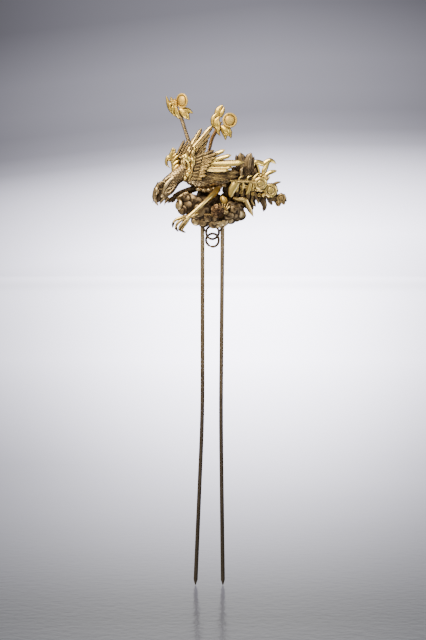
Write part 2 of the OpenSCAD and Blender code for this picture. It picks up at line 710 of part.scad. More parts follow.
// Leaf-shaped feathers round the tail: width, then [along, up] as shares of a leaf's
// length, from a point on the tail
crown_at = tail_root + tail_len * [0.18, 0, 0.03];
flame_at = tail_root + tail_len * [0.42, 0, 0.07];
low_leaf_at = tail_root + tail_len * [0.03, 0, -0.28];
CROWN = [
    [0.28, [[-0.04, -0.08], [-0.08, 0.44], [-0.13, 0.76], [-0.05, 1.05]]],
    [0.28, [[0.16, -0.08], [0.22, 0.44], [0.27, 0.76], [0.35, 1.05]]],
    [0.16, [[0.32, -0.08], [0.36, 0.36], [0.39, 0.64], [0.48, 0.88]]],
    [0.13, [[-0.04, -0.06], [-0.16, 0.28], [-0.21, 0.64], [-0.22, 0.95]]],
    [0.12, [[0.04, -0.08], [0.07, 0.36], [0.07, 0.70]]],
    [0.20, [[-0.12, 0.02], [0.14, -0.02], [0.42, 0.02]]]
];
FLAME = [
    [0.15, [[-0.04, -0.24], [-0.10, 0.28], [-0.12, 0.50], [0.04, 0.64], [0.24, 0.62],
            [0.40, 0.62], [0.56, 0.71], [0.78, 0.55]]],
    [0.16, [[0.04, 0.62], [0.24, 0.54], [0.38, 0.40], [0.34, 0.22], [0.22, 0.02]]],
    [0.13, [[0.10, -0.02], [0.32, 0.16], [0.56, 0.27], [0.80, 0.26]]],
    [0.13, [[0.20, -0.16], [0.44, 0.04], [0.60, 0.20]]]
];
LOW_LEAVES = [
    [0.20, [[-0.04, -0.06], [0.28, -0.07], [0.54, -0.08], [0.68, -0.28], [0.77, -0.48],
            [0.82, -0.70]]],
    [0.22, [[0.22, 0.40], [0.08, 0.20], [0.00, 0.04], [0.04, -0.10]]],
    [0.14, [[0.20, 0.36], [0.34, 0.16], [0.36, -0.04]]]
];

module leaves(rows, at, y) {
    for (i = [0:len(rows) - 1]) {
        shift = y + (i - 2) * layer_step;
        blade([for (q = rows[i][1]) at + [q[0] * leaf_len, shift, q[1] * leaf_len]],
            rows[i][0] * leaf_len, feather_t, parts = max(len(rows[i][1]) - 3, 1));
    }
}

module tail_crown() {
    color(worn_gilt) leaves(CROWN, crown_at, crown_y);
}

module tail_flame() {
    color(bright_gilt) leaves(FLAME, flame_at, flame_y);
}

module tail_leaves_low() {
    color(warm_gilt) leaves(LOW_LEAVES, low_leaf_at, low_leaf_y);
}

// Springs: a wire coiled round a bent line from the bird's back to an ornament
left_foot = body_at + [-0.27 * body_len, 0, 0.62 * body_h + coil_wire / 2 + seat_gap];
right_foot = body_at + [-0.03 * body_len, 0, 0.53 * body_h + coil_wire / 2 + seat_gap];
LEFT_LINE = [[0, 0, 0], [-0.03, 0, 0.18], [-0.08, 0, 0.33], [-0.14, 0, 0.48],
    [-0.18, 0, 0.60], [-0.23, 0, 0.76], [-0.27, 0, 0.88], [-0.32, 0, 1.00]];
RIGHT_LINE = [[0, 0, 0], [0.01, 0, 0.27], [0.07, 0, 0.53], [0.12, 0, 0.73],
    [0.20, 0, 0.89], [0.26, 0, 1.00]];
left_line = placed(LEFT_LINE, left_foot, left_rise);
right_line = placed(RIGHT_LINE, right_foot, right_rise);
left_top = left_line[len(left_line) - 1];
right_top = right_line[len(right_line) - 1];

module spring(line, rise) {
    turns = round(rise / coil_pitch);
    steps = turns * 6;
    r = (coil_d - coil_wire) / 2;
    p = [for (j = [0:steps])
        let (s = j / steps,
             along = along_at(line, s),
             side = unit(cross(along, [0, -1, 0])),
             out = cross(side, along),
             a = 360 * turns * s)
        curve_at(line, s) + r * (cos(a) * side + sin(a) * out)];
    skin([for (j = [0:steps])
        let (s = j / steps,
             d = unit(p[min(j + 1, steps)] - p[max(j - 1, 0)]),
             inward = unit(curve_at(line, s) - p[j]),
             side = unit(cross(d, inward)),
             out = cross(side, d))
        [for (i = [0:coil_sides - 1])
            let (a = i * 360 / coil_sides)
            p[j] + coil_wire / 2 * (side * cos(a) + out * sin(a))]]);
}

module spring_left() {
    color(worn_gilt) spring(left_line, left_rise);
}

module spring_right() {
    color(dark_wire) spring(right_line, right_rise);
}

// Leaves and petals of the trembling ornaments as shares of their length:
// width, then points [along, side, up] from the top of the spring
LEFT_SPRAY = [
    [0.20, [[0.02, 0.03, 0.02], [-0.14, 0.02, 0.26], [-0.28, 0, 0.48], [-0.50, -0.02, 0.70]]],
    [0.20, [[0.00, 0, 0.05], [-0.12, 0, 0.34], [-0.22, 0, 0.50], [-0.32, 0.02, 0.66]]],
    [0.16, [[-0.02, 0, 0.10], [-0.10, 0, 0.30], [-0.16, 0.03, 0.48], [-0.20, 0.05, 0.62]]],
    [0.16, [[0.02, 0.03, 0.06], [0.18, 0, 0.20], [0.36, 0, 0.18], [0.51, 0, 0.04]]],
    [0.16, [[0.02, 0.02, 0.06], [0.16, 0, -0.06], [0.30, 0, -0.15], [0.44, 0, -0.18]]],
    [0.10, [[0.00, 0.04, 0.04], [0.02, 0.08, 0.28], [0.06, 0.09, 0.44]]]
];
RIGHT_SPRAY = [
    [0.22, [[0.02, 0.03, 0.02], [0.04, 0, 0.42], [0.12, 0, 0.68], [0.22, 0, 0.92]]],
    [0.20, [[0.00, 0, 0.05], [-0.06, 0, 0.32], [-0.05, 0, 0.60]]],
    [0.16, [[0.02, 0, 0.14], [0.08, 0.02, -0.04], [0.09, 0, -0.25]]],
    [0.20, [[0.06, 0.02, 0.14], [0.20, 0, -0.10], [0.33, 0, -0.42]]],
    [0.18, [[0.04, 0.02, 0.08], [0.38, 0, 0.00], [0.53, 0, -0.34]]],
    [0.10, [[0.02, 0.03, 0.08], [0.20, 0.06, 0.22], [0.42, 0.07, 0.32]]]
];
left_spray_at = left_top + [0, 0, coil_wire / 2 + seat_gap + 0.2 * feather_t];
right_spray_at = right_top + [0, 0, coil_wire / 2 + seat_gap + 0.2 * feather_t];

module spray(rows, at, curl) {
    for (i = [0:len(rows) - 1])
        blade(placed(rows[i][1], at + [0, i * layer_step, 0], spray_len),
            rows[i][0] * spray_len, feather_t);
    scroll(at + spray_len * curl, 0.11 * spray_len, feather_t, 1.2, 90);
}

module spray_left() {
    color(bright_gilt) difference() {
        spray(LEFT_SPRAY, left_spray_at, [0.19, -0.015, 0.08]);
        spring_room(left_line);
        disc_room(left_disc_at, left_disc_turn, disc_d);
    }
}

module spray_right() {
    color(bright_gilt) difference() {
        spray(RIGHT_SPRAY, right_spray_at, [0.34, -0.02, -0.16]);
        spring_room(right_line);
        disc_room(right_disc_at, right_disc_turn, right_disc_d);
    }
}

// Room that the top of a spring takes up
module spring_room(line) {
    blade([for (s = [0.8, 0.9, 1]) curve_at(line, s) + [0, 0, (s - 0.9) * 10 * coil_wire / 2]],
        coil_d + 2 * seat_gap, coil_d + 2 * seat_gap, EVEN, ROUND);
}

// The round plates: a rim, a groove and a dome
left_disc_at = left_spray_at + spray_len * [0.10, -0.02, 0.54];
right_disc_at = right_spray_at + spray_len * [0.49, -0.02, 0.34];
left_disc_turn = -40;
right_disc_turn = 12;
right_disc_d = 0.92 * disc_d;
plate_t = 0.6;
rim_t = 0.45;

module plate(d) {
    dome_r = 0.36 * d;
    dome_h = 0.16 * d;
    dome_ball = (dome_r * dome_r + dome_h * dome_h) / (2 * dome_h);
    rotate([90, 0, 0]) {
        cylinder(h = plate_t, d = d, $fn = 48);
        translate([0, 0, plate_t]) rotate_extrude($fn = 48)
            translate([(d - rim_t) / 2, 0]) circle(d = rim_t, $fn = 24);
        intersection() {
            translate([0, 0, plate_t + dome_h - dome_ball]) sphere(dome_ball, $fn = 48);
            cylinder(h = plate_t + 2 * dome_h, r = dome_r, $fn = 48);
        }
    }
}

module disc_room(at, turn, d) {
    translate(at) rotate([0, 0, turn]) rotate([90, 0, 0]) translate([0, 0, -seat_gap])
        cylinder(h = plate_t + rim_t + 2 * seat_gap, d = d + 2 * seat_gap, $fn = 20);
}

module disc_left() {
    color(warm_gilt) translate(left_disc_at) rotate([0, 0, left_disc_turn]) plate(disc_d);
}

module disc_right() {
    color(warm_gilt) translate(right_disc_at) rotate([0, 0, right_disc_turn])
        plate(right_disc_d);
}

// Clouds: rows of lobes [along, side, up, radius] as shares of the dish's diameter
// (along, side) and of the wreath's height (up from the rim, radius)
MOUND = [
    [-0.26, 0.00, 0.30, 0.34], [-0.02, -0.17, 0.30, 0.30], [0.22, 0.00, 0.40, 0.36],
    [0.40, 0.02, 0.26, 0.30], [0.30, 0.08, 0.72, 0.27], [0.00, 0.19, 0.30, 0.30]
];
LEFT_CLOUD = [
    [-0.74, -0.09, 0.46, 0.18], [-0.63, -0.13, 0.16, 0.24], [-0.55, -0.10, 0.68, 0.20],
    [-0.40, -0.14, 0.64, 0.22], [-0.49, -0.15, 0.36, 0.26], [-0.60, 0.00, 0.40, 0.22],
    [-0.52, 0.12, 0.44, 0.24], [-0.40, 0.18, 0.56, 0.22], [-0.50, -0.02, 0.12, 0.24]
];
FRONT_CLOUD = [
    [-0.35, -0.34, -0.36, 0.22], [-0.19, -0.37, -0.43, 0.22], [-0.30, -0.40, -0.02, 0.23],
    [-0.17, -0.41, 0.14, 0.25], [0.02, -0.37, -0.50, 0.20], [0.13, -0.36, -0.50, 0.18],
    [-0.29, -0.34, 0.28, 0.20]
];
RIGHT_CLOUD = [
    [0.25, -0.35, -0.40, 0.19], [0.38, -0.30, -0.30, 0.20], [0.57, -0.16, -0.08, 0.25],
    [0.46, -0.29, 0.14, 0.25], [0.63, 0.00, 0.06, 0.20], [0.34, -0.40, 0.02, 0.21],
    [0.53, 0.12, -0.14, 0.24], [0.50, -0.04, -0.18, 0.24]
];
BACK_CLOUD = [
    [-0.31, 0.37, 0.02, 0.25], [-0.14, 0.43, 0.16, 0.26], [0.05, 0.44, 0.06, 0.25],
    [0.22, 0.41, 0.12, 0.26], [0.38, 0.31, 0.00, 0.25], [-0.14, 0.42, -0.34, 0.22],
    [0.13, 0.42, -0.36, 0.22]
];

// Centre of a lobe
function puff_at(r) = [r[0] * dish_d, r[1] * dish_d, rim_z + r[2] * cloud_h];

// Lobes on a vine, with a scroll on the side of each that faces out
module cloud(rows, vine, scrolled) {
    for (r = rows) lobe(puff_at(r), r[3] * cloud_h, 0.85);
    blade([for (i = vine) puff_at(rows[i])], 0.16 * cloud_h, 0.12 * cloud_h, EVEN, ROUND,
        parts = len(vine) - 1, steps = 1);
    for (i = scrolled) {
        r = rows[i];
        scroll(puff_at(r) + [0, -0.8 * r[3] * cloud_h, 0], 0.8 * r[3] * cloud_h,
            0.07 * cloud_h, 1, 60 * i);
    }
}

module cloud_mound() {
    color(worn_gilt) difference() {
        cloud(MOUND, [0, 1, 2, 5, 0], []);
        dish_room();
    }
}

module cloud_left() {
    color(bright_gilt) difference() {
        cloud(LEFT_CLOUD, [0, 1, 4], [0, 4]);
        dish_room();
        cloud_room(MOUND);
    }
}

module cloud_front() {
    color(warm_gilt) difference() {
        cloud(FRONT_CLOUD, [4, 1, 0, 2], [1, 3]);
        dish_room();
    }
}

module cloud_right() {
    color(warm_gilt) difference() {
        cloud(RIGHT_CLOUD, [0, 1, 3, 2, 4, 6], [1, 2]);
        dish_room();
        cloud_room(MOUND);
        cloud_room([FRONT_CLOUD[5]]);
    }
}

module cloud_back() {
    color(worn_gilt) difference() {
        cloud(BACK_CLOUD, [5, 0, 1, 2, 3, 4, 6], []);
        dish_room();
    }
}

// Room that a cloud's lobes take up
module cloud_room(rows) {
    for (r = rows) lobe(puff_at(r), r[3] * cloud_h + seat_gap, 0.85);
}

// The blossom at the front: two rings of petals, facing forward
blossom_at = [0.10 * dish_d, -0.49 * dish_d, rim_z + 0.20 * cloud_h];
blossom_t = 0.8;
outer_petals = 7;
inner_petals = 5;

module petal_ring(count, reach, r, y) {
    for (i = [0:count - 1]) {
        a = 360 * i / count;
        hull() {
            translate([reach * cos(a), y, reach * sin(a)]) scale([1, 0.4, 1])
                sphere(r, $fn = ball_sides);
            translate([0, y, 0]) scale([1, 0.6, 1]) sphere(0.5 * r, $fn = ball_sides);
        }
    }
}

module blossom() {
    color(warm_gilt) difference() {
        translate(blossom_at) {
            petal_ring(outer_petals, 0.36 * blossom_d, 0.14 * blossom_d, 0);
            petal_ring(inner_petals, 0.20 * blossom_d, 0.11 * blossom_d, -0.3 * blossom_t);
        }
        dish_room();
        cloud_room(FRONT_CLOUD);
    }
}

// A small fan of striped leaves beside the blossom, with a bud behind it
fan_at = [0.24 * dish_d, -0.36 * dish_d, rim_z + 0.06 * cloud_h];
fan_len = 0.62 * cloud_h;
fan_leaves = 5;

module fan_leaf() {
    color(warm_gilt) difference() {
        union() {
            for (i = [0:fan_leaves - 1]) {
                a = 112 - 13 * i;
                tip = [cos(a), 0, sin(a)] * fan_len;
                foot = fan_at + [0, i * layer_step, 0];
                blade([foot, foot + 0.5 * tip + [0, -0.1, 0], foot + tip], 0.2 * fan_len,
                    feather_t);
            }
            lobe(fan_at + [0.1 * fan_len, -0.3, 0.1 * fan_len], 0.15 * fan_len);
        }
        dish_room();
        cloud_room(FRONT_CLOUD);
        cloud_room(RIGHT_CLOUD);
    }
}

module bud() {
    y = fan_at.y + feather_t + seat_gap;
    foot = [fan_at.x + 0.1 * fan_len, y, fan_at.z + 0.4 * fan_len];
    color(bright_gilt)
        skin(blade_rings([foot, foot + [-0.1, 0, 0.35] * bud_len, foot + [-0.25, 0, 0.8] * bud_len,
                foot + [-0.5, 0, 1.4] * bud_len],
            0.48 * bud_len, 0.3 * bud_len, [0.25, 0.3, 0.8, 1, 0.8, 0.1], ROUND, [0, -1, 0], 8));
}

prong_left();
prong_right();
ring_upper();
ring_lower();
base_dish();
cloud_mound();
cloud_left();
cloud_front();
cloud_right();
cloud_back();
blossom();
fan_leaf();
bud();
phoenix_body();
crest();
shoulder_ruff();
wing_near();
wing_far();
leg_near();
leg_far();
tail_plume_top();
tail_plume_middle();
tail_plume_low();
tail_crown();
tail_flame();
tail_leaves_low();
spring_left();
spring_right();
spray_left();
spray_right();
disc_left();
disc_right();
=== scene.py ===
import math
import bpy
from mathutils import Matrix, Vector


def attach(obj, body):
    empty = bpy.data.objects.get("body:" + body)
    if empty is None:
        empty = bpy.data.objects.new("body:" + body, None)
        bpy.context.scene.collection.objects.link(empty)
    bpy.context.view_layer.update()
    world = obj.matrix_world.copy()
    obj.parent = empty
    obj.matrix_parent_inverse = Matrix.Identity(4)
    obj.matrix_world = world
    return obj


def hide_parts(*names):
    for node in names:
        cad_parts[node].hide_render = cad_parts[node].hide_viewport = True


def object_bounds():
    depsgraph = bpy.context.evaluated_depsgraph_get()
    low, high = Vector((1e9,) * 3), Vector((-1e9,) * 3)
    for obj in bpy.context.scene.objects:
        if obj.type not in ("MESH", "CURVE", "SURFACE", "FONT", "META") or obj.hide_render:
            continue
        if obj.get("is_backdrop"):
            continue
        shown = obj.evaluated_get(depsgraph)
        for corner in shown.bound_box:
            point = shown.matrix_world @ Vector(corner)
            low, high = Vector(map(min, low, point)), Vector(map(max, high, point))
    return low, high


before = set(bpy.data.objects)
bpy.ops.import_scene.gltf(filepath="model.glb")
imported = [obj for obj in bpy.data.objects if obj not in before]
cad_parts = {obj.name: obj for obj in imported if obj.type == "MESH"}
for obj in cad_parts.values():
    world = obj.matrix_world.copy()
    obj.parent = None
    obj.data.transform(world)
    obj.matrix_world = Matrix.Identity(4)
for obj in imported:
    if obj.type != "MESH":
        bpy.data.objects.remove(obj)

# %% [markdown]
# # A gilt hair fork that trembles
# The pin is a two-pronged fork with a bird over a dish of clouds. Goldsmiths made such pins
# from many small parts: cast lobes, cut and chased sheet for the feathers, and coiled wire
# for the springs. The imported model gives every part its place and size. This lesson dresses
# the parts one by one, in the same frame, so nothing has to be fitted by eye afterwards.

cad_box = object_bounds()
print("bare model, lowest corner", [round(v * 1000, 1) for v in cad_box[0]], "mm")
print("bare model, highest corner", [round(v * 1000, 1) for v in cad_box[1]], "mm")

# %% [markdown]
# ## A drawing grid
# A maker works from a front drawing on squared paper. Here one square is 0.34 mm, and
# `spot` turns a column and a row of that paper into a place on the pin. Depth is negative
# toward the viewer. Positions could also be typed in metres, but then every leaf would be
# a row of tiny numbers that no one can picture.

# %% Grid and small curve tools
MM = 0.001
SQUARE = 0.34
MIDDLE_COLUMN, SEAT_ROW = 212.5, 228.0
TOWARD_VIEWER = Vector((0, -1, 0))
NEARLY_ONE = 0.999999


def spot(col, row, depth=0.0):
    """A place on the front drawing, in millimetres."""
    return Vector(((col - MIDDLE_COLUMN) * SQUARE, depth, (SEAT_ROW - row) * SQUARE))


def gap_at(row, share):
    """Which gap between the things in a row a share of the way falls in, and how far in."""
    run = min(max(share, 0.0), NEARLY_ONE) * (len(row) - 1)
    return int(run), run - int(run)


def on_curve(points, share):
    """The point at a share of the way along a smooth curve through the points."""
    i, u = gap_at(points, share)
    a, b = points[max(i - 1, 0)], points[i]
    c, d = points[i + 1], points[min(i + 2, len(points) - 1)]
    return 0.5 * (2 * b + (c - a) * u + (2 * a - 5 * b + 4 * c - d) * u * u
                  + (3 * b - a - 3 * c + d) * u ** 3)


def heading(points, share):
    """The direction of that curve."""
    ahead = on_curve(points, share + 0.012)
    behind = on_curve(points, share - 0.012)
    return (ahead - behind).normalized()


def along_table(table, share):
    """Reads a row of numbers as a smooth run of widths."""
    i, u = gap_at(table, share)
    u = u * u * (3 - 2 * u)
    return table[i] * (1 - u) + table[i + 1] * u


print("left end of the drawing", [round(v, 1) for v in spot(153, 202)], "mm")

# %% [markdown]
# ## A casting that knows its high places
# Old gilding is bright where hands rub it and dark in every hollow. So each point of a piece
# is stored with a number, `proud`, from 0 in a groove to 1 on a ridge, and the
# metal's material reads it. The same number also carries painted shade: it is low at the cut
# edge of a blade, at the root of each small feather under the one above, on the inner side of
# a spring's wire and on the half of a cloud lobe that faces in and down. Baking a map or
# painting by hand would do the same, but would have to be redone after every change of shape.

# %% The casting
class Casting:
    """Gathers the points and faces of one piece, in millimetres.

    Its tone says how clean and how lit the next parts are, from 0 for dark to 1 for bright: a low
    tone is dirt on some parts and painted shade on parts that lie behind or deep among others.
    """

    def __init__(self, name):
        self.name = name
        self.tone = 1.0
        self.points = []
        self.faces = []
        self.proud = []

    def skin(self, rings, prouds):
        """Lays faces over a row of rings that have as many points each, and closes both ends."""
        start, n = len(self.points), len(rings[0])
        for ring, proud in zip(rings, prouds):
            self.points.extend(ring)
            self.proud.extend(self.tone * stands for stands in proud)
        for j in range(len(rings) - 1):
            low = start + j * n
            for i in range(n):
                k = (i + 1) % n
                self.faces.append((low + i, low + k, low + n + k, low + n + i))
        top = start + (len(rings) - 1) * n
        self.faces.append(tuple(start + i for i in reversed(range(n))))
        self.faces.append(tuple(top + i for i in range(n)))

    def pour(self, metal, slot, *nodes):
        """Turns the gathered points into a piece that stands for the named nodes."""
        mesh = bpy.data.meshes.new(self.name)
        mesh.from_pydata([p * MM for p in self.points], [], self.faces)
        store = mesh.attributes.new("proud", "FLOAT", "POINT")
        store.data.foreach_set("value", self.proud)
        mesh.shade_smooth()
        mesh.materials.append(metal)
        piece = bpy.data.objects.new(self.name, mesh)
        bpy.context.scene.collection.objects.link(piece)
        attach(piece, "root")
        if nodes:
            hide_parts(*nodes)
        size = [round(max(p[i] for p in self.points) - min(p[i] for p in self.points), 1)
                for i in range(3)]
        print(self.name, len(self.points), "points,", len(self.faces), "faces,", size, "mm")


print("castings are gathered in millimetres and poured at a scale of", MM)

# %% [markdown]
# ## The camera
# A long lens about 80 cm away keeps the prongs straight, and it looks down by four and a half
# degrees, which is what lets the floor run up behind the pin. The frame is 640 squares high.
# A short lens closer by would spread the prongs and show more of the dish from above.

# %% Set up the camera
LENS, SENSOR = 135.0, 36.0
FRAME_SQUARES = 640.0
FRAME_MIDDLE = (213, 320)
LOOK_DOWN = math.radians(4.5)

frame_height = FRAME_SQUARES * SQUARE * MM
camera_far = frame_height * LENS / SENSOR
aim = spot(*FRAME_MIDDLE) * MM
camera = bpy.data.objects.new("camera", bpy.data.cameras.new("camera"))
camera.data.lens, camera.data.sensor_width = LENS, SENSOR
camera.location = aim + camera_far * Vector((0, -math.cos(LOOK_DOWN), math.sin(LOOK_DOWN)))
camera.rotation_euler = (math.radians(90) - LOOK_DOWN, 0, 0)
camera.data.clip_start, camera.data.clip_end = 0.05, 20
bpy.context.scene.collection.objects.link(camera)
bpy.context.scene.camera = camera
print("camera", round(camera_far, 3), "m from the pin")

# %% [markdown]
# ## A small box of node tools
# Materials are built as node trees in code. `Tree` wires a node up in one line, so that a
# recipe for metal reads like a recipe. The shader editor would show the same trees, and it is
# the place to look at them once the script has run.

# %% Node tools
class Tree:
    """Adds nodes to a material and wires them."""

    def __init__(self, name):
        self.material = bpy.data.materials.new(name)
        self.material.use_nodes = True
        self.nodes = self.material.node_tree.nodes
        self.links = self.material.node_tree.links
        self.nodes.clear()
        self.output = self.nodes.new("ShaderNodeOutputMaterial")

    def add(self, kind, sockets=None, **settings):
        """Adds a node; a socket takes a value or the output of another node."""
        node = self.nodes.new(kind)
        for key, value in settings.items():
            setattr(node, key, value)
        for key, value in (sockets or {}).items():
            if isinstance(value, bpy.types.NodeSocket):
                self.links.new(value, node.inputs[key])
            else:
                node.inputs[key].default_value = value
        return node

    def sum(self, kind, a, b, clamp=False):
        """One step of arithmetic on two numbers."""
        node = self.add("ShaderNodeMath", {0: a, 1: b}, operation=kind, use_clamp=clamp)
        return node.outputs[0]

    def ramp(self, value, stops):
        """Turns a number into a colour by a row of (place, colour)."""
        node = self.add("ShaderNodeValToRGB", {0: value})
        ramp = node.color_ramp
        ramp.elements[0].position, ramp.elements[1].position = stops[0][0], stops[-1][0]
        for place, _ in stops[1:-1]:
            ramp.elements.new(place)
        for element, (place, colour) in zip(ramp.elements, stops):
            element.color = (*colour, 1)
        return node.outputs[0]

    def spread(self, value, low, high, to_low, to_high):
        """Maps a range of numbers onto another, held at both ends."""
        return self.add("ShaderNodeMapRange", {0: value, 1: low, 2: high, 3: to_low,
                                               4: to_high}).outputs[0]

    def place(self):
        """Where a point lies on its own piece, in metres."""
        return self.add("ShaderNodeTexCoord").outputs["Object"]

    def grain(self, scale, detail, roughness=0.55):
        """Soft noise whose blotches are about one over scale metres wide."""
        noise = self.add("ShaderNodeTexNoise", {"Vector": self.place(), "Scale": scale,
                                                "Detail": detail, "Roughness": roughness})
        return noise.outputs[0]


print("node tools ready")

# %% [markdown]
# ## The studio sweep
# A sweep is a sheet of plain paper that curves up from the table into a wall, so no edge
# shows behind the pin. It is turned like a bowl here, because the pin is looked at from every
# side. Its own soft glow carries the shading from pale grey at the table's front, over nearly
# white, to a cool grey at the top. Lighting it with lamps alone would also work, but every
# change to the lamps would then change the metal too.

# %% Turn the sweep
TABLE_Z = -0.12245
TABLE_RADIUS, BEND_RADIUS, WALL_TOP = 1.5, 0.25, 1.5
SWEEP_SIDES, BEND_STEPS = 96, 12


def sweep_profile():
    """Radius and height of the sweep, from the middle of the table to the top of the wall."""
    rows = [(r, 0.0) for r in (0.0, 0.02, 0.1, 0.3, 0.7, 1.1, TABLE_RADIUS)]
    for step in range(1, BEND_STEPS + 1):
        turn = math.radians(90) * step / BEND_STEPS
        rows.append((TABLE_RADIUS + BEND_RADIUS * math.sin(turn),
                     BEND_RADIUS * (1 - math.cos(turn))))
    return rows + [(TABLE_RADIUS + BEND_RADIUS, WALL_TOP)]


def turn_sweep():
    """Turns the profile round the upright into one sheet."""
    profile = sweep_profile()
    points, faces = [], []
    for radius, height in profile:
        for side in range(SWEEP_SIDES):
            turn = math.radians(360) * side / SWEEP_SIDES
            points.append((radius * math.cos(turn), radius * math.sin(turn), TABLE_Z + height))
    for row in range(len(profile) - 1):
        for side in range(SWEEP_SIDES):
            low, nxt = row * SWEEP_SIDES, (side + 1) % SWEEP_SIDES
            faces.append((low + side, low + nxt, low + SWEEP_SIDES + nxt,
                          low + SWEEP_SIDES + side))
    mesh = bpy.data.meshes.new("studio_sweep")
    mesh.from_pydata(points, [], faces)
    mesh.shade_smooth()
    sweep = bpy.data.objects.new("studio_sweep", mesh)
    bpy.context.scene.collection.objects.link(sweep)
    sweep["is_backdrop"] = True
    return sweep


sweep = turn_sweep()
print("sweep", len(sweep.data.polygons), "faces, table at", TABLE_Z * 1000, "mm")

# %% [markdown]
# ## Shades of the paper
# The paper's shade follows its depth on the table and its height on the wall. Each row below
# is a place in metres and a brightness, so a band that looks too dark is mended by one number.
# To both sides the shade falls off like a pool of light. The pool opens with the distance
# from a place in front of the pin, fades less high up on the wall, and its middle lies a
# little to the right.

# %% Shades of the paper
GLOW = 40.0
COOL = (1.0, 0.972, 1.15)
POOL_START, POOL_OPENS, POOL_LEAST, RIM_LIGHT = 0.816, 0.122, 0.094, 0.1
SLANT_TO_RIGHT, WALL_LIFT = 0.12, 0.006
TABLE_SHADES = [(-0.12, 0.5), (-0.079, 0.47), (-0.055, 0.43), (-0.022, 0.64), (0.013, 1.1),
                (0.052, 1.72), (0.117, 3.0), (0.193, 4.9), (0.282, 7.7), (0.472, 14.0),
                (0.81, 24.5), (1.387, 28.0)]
WALL_SHADES = [(-0.105, 6.3), (-0.073, 6.2), (-0.041, 4.2), (-0.020, 3.0), (0.002, 1.75),
               (0.018, 0.95), (0.034, 0.6), (0.055, 0.48), (0.077, 0.5), (0.109, 0.47),
               (0.141, 0.36), (0.167, 0.27), (0.3, 0.22)]


def shade_ramp(tree, value, shades):
    """A ramp over a row of (metres, brightness)."""
    low, high = shades[0][0], shades[-1][0]
    unit = tree.spread(value, low, high, 0.0, 1.0)
    return tree.ramp(unit, [((place - low) / (high - low),
                             tuple(c * shade / GLOW for c in COOL)) for place, shade in shades])


def painted_shade(tree, x, y, z, on_wall):
    """The colour of the paper at its brightest, from the table's rows and the wall's."""
    slant = tree.sum("MULTIPLY", tree.sum("MINIMUM", x, 0.06), SLANT_TO_RIGHT)
    height = tree.sum("ADD", tree.sum("SUBTRACT", z, slant), WALL_LIFT)
    wall = shade_ramp(tree, height, WALL_SHADES)
    table = shade_ramp(tree, y, TABLE_SHADES)
    return tree.add("ShaderNodeMix", {0: on_wall, 6: table, 7: wall}, data_type="RGBA").outputs[2]


def side_falloff(tree, x, y, z):
    """1 in the middle of the pool of light, and less toward both sides."""
    opened = tree.sum("MULTIPLY", tree.sum("ADD", y, POOL_START), POOL_OPENS)
    reach = tree.sum("MAXIMUM", opened, POOL_LEAST)
    to_right = tree.sum("SUBTRACT", tree.spread(y, -0.05, 0.25, 0.02, 0.12),
                        tree.spread(z, -0.06, 0.03, 0.0, 0.08))
    off_centre = tree.sum("SUBTRACT", tree.sum("DIVIDE", x, reach), to_right)
    evenness = tree.sum("ADD", tree.spread(z, TABLE_Z, -0.03, 0.08, 0.3),
                        tree.spread(y, -0.02, 0.3, 0.12, 0.0))
    pool = tree.sum("POWER", evenness, tree.sum("MULTIPLY", off_centre, off_centre))
    return tree.sum("ADD", tree.sum("MULTIPLY", pool, 1 - RIM_LIGHT), RIM_LIGHT)


print("shades:", len(TABLE_SHADES), "on the table and", len(WALL_SHADES), "on the wall")

# %% [markdown]
# ## Satin and what the metal sees
# Most of the table's light is a satin reflection that small waves pull into a long smear,
# which is the dark streak below each tip. A mirror floor would show a second pin, and a matt
# one nothing. The metal doesn't see the painted shades but a studio of its own: bright toward
# the viewer and the left, dark behind, with a low bright strip that feeds the table's satin.
# That keeps the gold full of contrast in front of a nearly white wall.

# %% Paper of the sweep
STUDIO_TINT = (1, 0.93, 0.78, 1)
SATIN_SHARE, SATIN_ROUGHNESS = 0.75, 0.19
DIM_SHEEN, FULL_SHEEN = (0.58, 0.63, 0.8), (0.82, 0.88, 1.0)


def studio_in_metal(tree, x, y, z):
    """How bright the paper is for the metal and the satin table."""
    front_left = tree.spread(tree.sum("ADD", y, tree.sum("MULTIPLY", x, 0.9)),
                             -1.3, 0.15, 0.5, 0.03)
    low_strip = tree.sum("MULTIPLY", tree.spread(y, 0.45, 0.8, 0.0, 1.0),
                         tree.spread(z, 0.15, 0.55, 0.55, 0.02))
    return tree.sum("ADD", front_left, low_strip)


def paper():
    """White paper that glows with its painted shade and has a satin sheen on the table."""
    tree = Tree("studio_paper")
    x, y, z = tree.add("ShaderNodeSeparateXYZ", {0: tree.place()}).outputs
    on_wall = tree.spread(z, TABLE_Z + 0.0005, TABLE_Z + 0.012, 0.0, 1.0)
    falloff = side_falloff(tree, x, y, z)
    painted = tree.add("ShaderNodeEmission", {"Color": painted_shade(tree, x, y, z, on_wall),
                                              "Strength": tree.sum("MULTIPLY", falloff, GLOW)})
    mirrored = tree.add("ShaderNodeEmission", {"Color": STUDIO_TINT,
                                               "Strength": studio_in_metal(tree, x, y, z)})
    seen = tree.add("ShaderNodeLightPath").outputs["Is Camera Ray"]
    glow = tree.add("ShaderNodeMixShader",
                    {0: seen, 1: mirrored.outputs[0], 2: painted.outputs[0]})
    bump = tree.add("ShaderNodeBump", {"Height": tree.grain(330.0, 2.0, 0.5), "Strength": 0.2,
                                       "Distance": 0.0006})
    # The satin's colour dims toward the sides with the painted pool of light.
    sheen = tree.ramp(falloff, [(0.2, DIM_SHEEN), (0.95, FULL_SHEEN)])
    satin = tree.add("ShaderNodeBsdfGlossy", {"Color": sheen, "Roughness": SATIN_ROUGHNESS,
                                              "Normal": bump.outputs[0]})
    share = tree.spread(tree.sum("POWER", on_wall, 2.8), 0.0, 1.0, SATIN_SHARE, 0.0)
    mixed = tree.add("ShaderNodeMixShader", {0: share, 1: glow.outputs[0], 2: satin.outputs[0]})
    tree.links.new(mixed.outputs[0], tree.output.inputs[0])
    return tree.material


sweep.data.materials.append(paper())
print("paper: satin share", SATIN_SHARE, "and roughness", SATIN_ROUGHNESS)

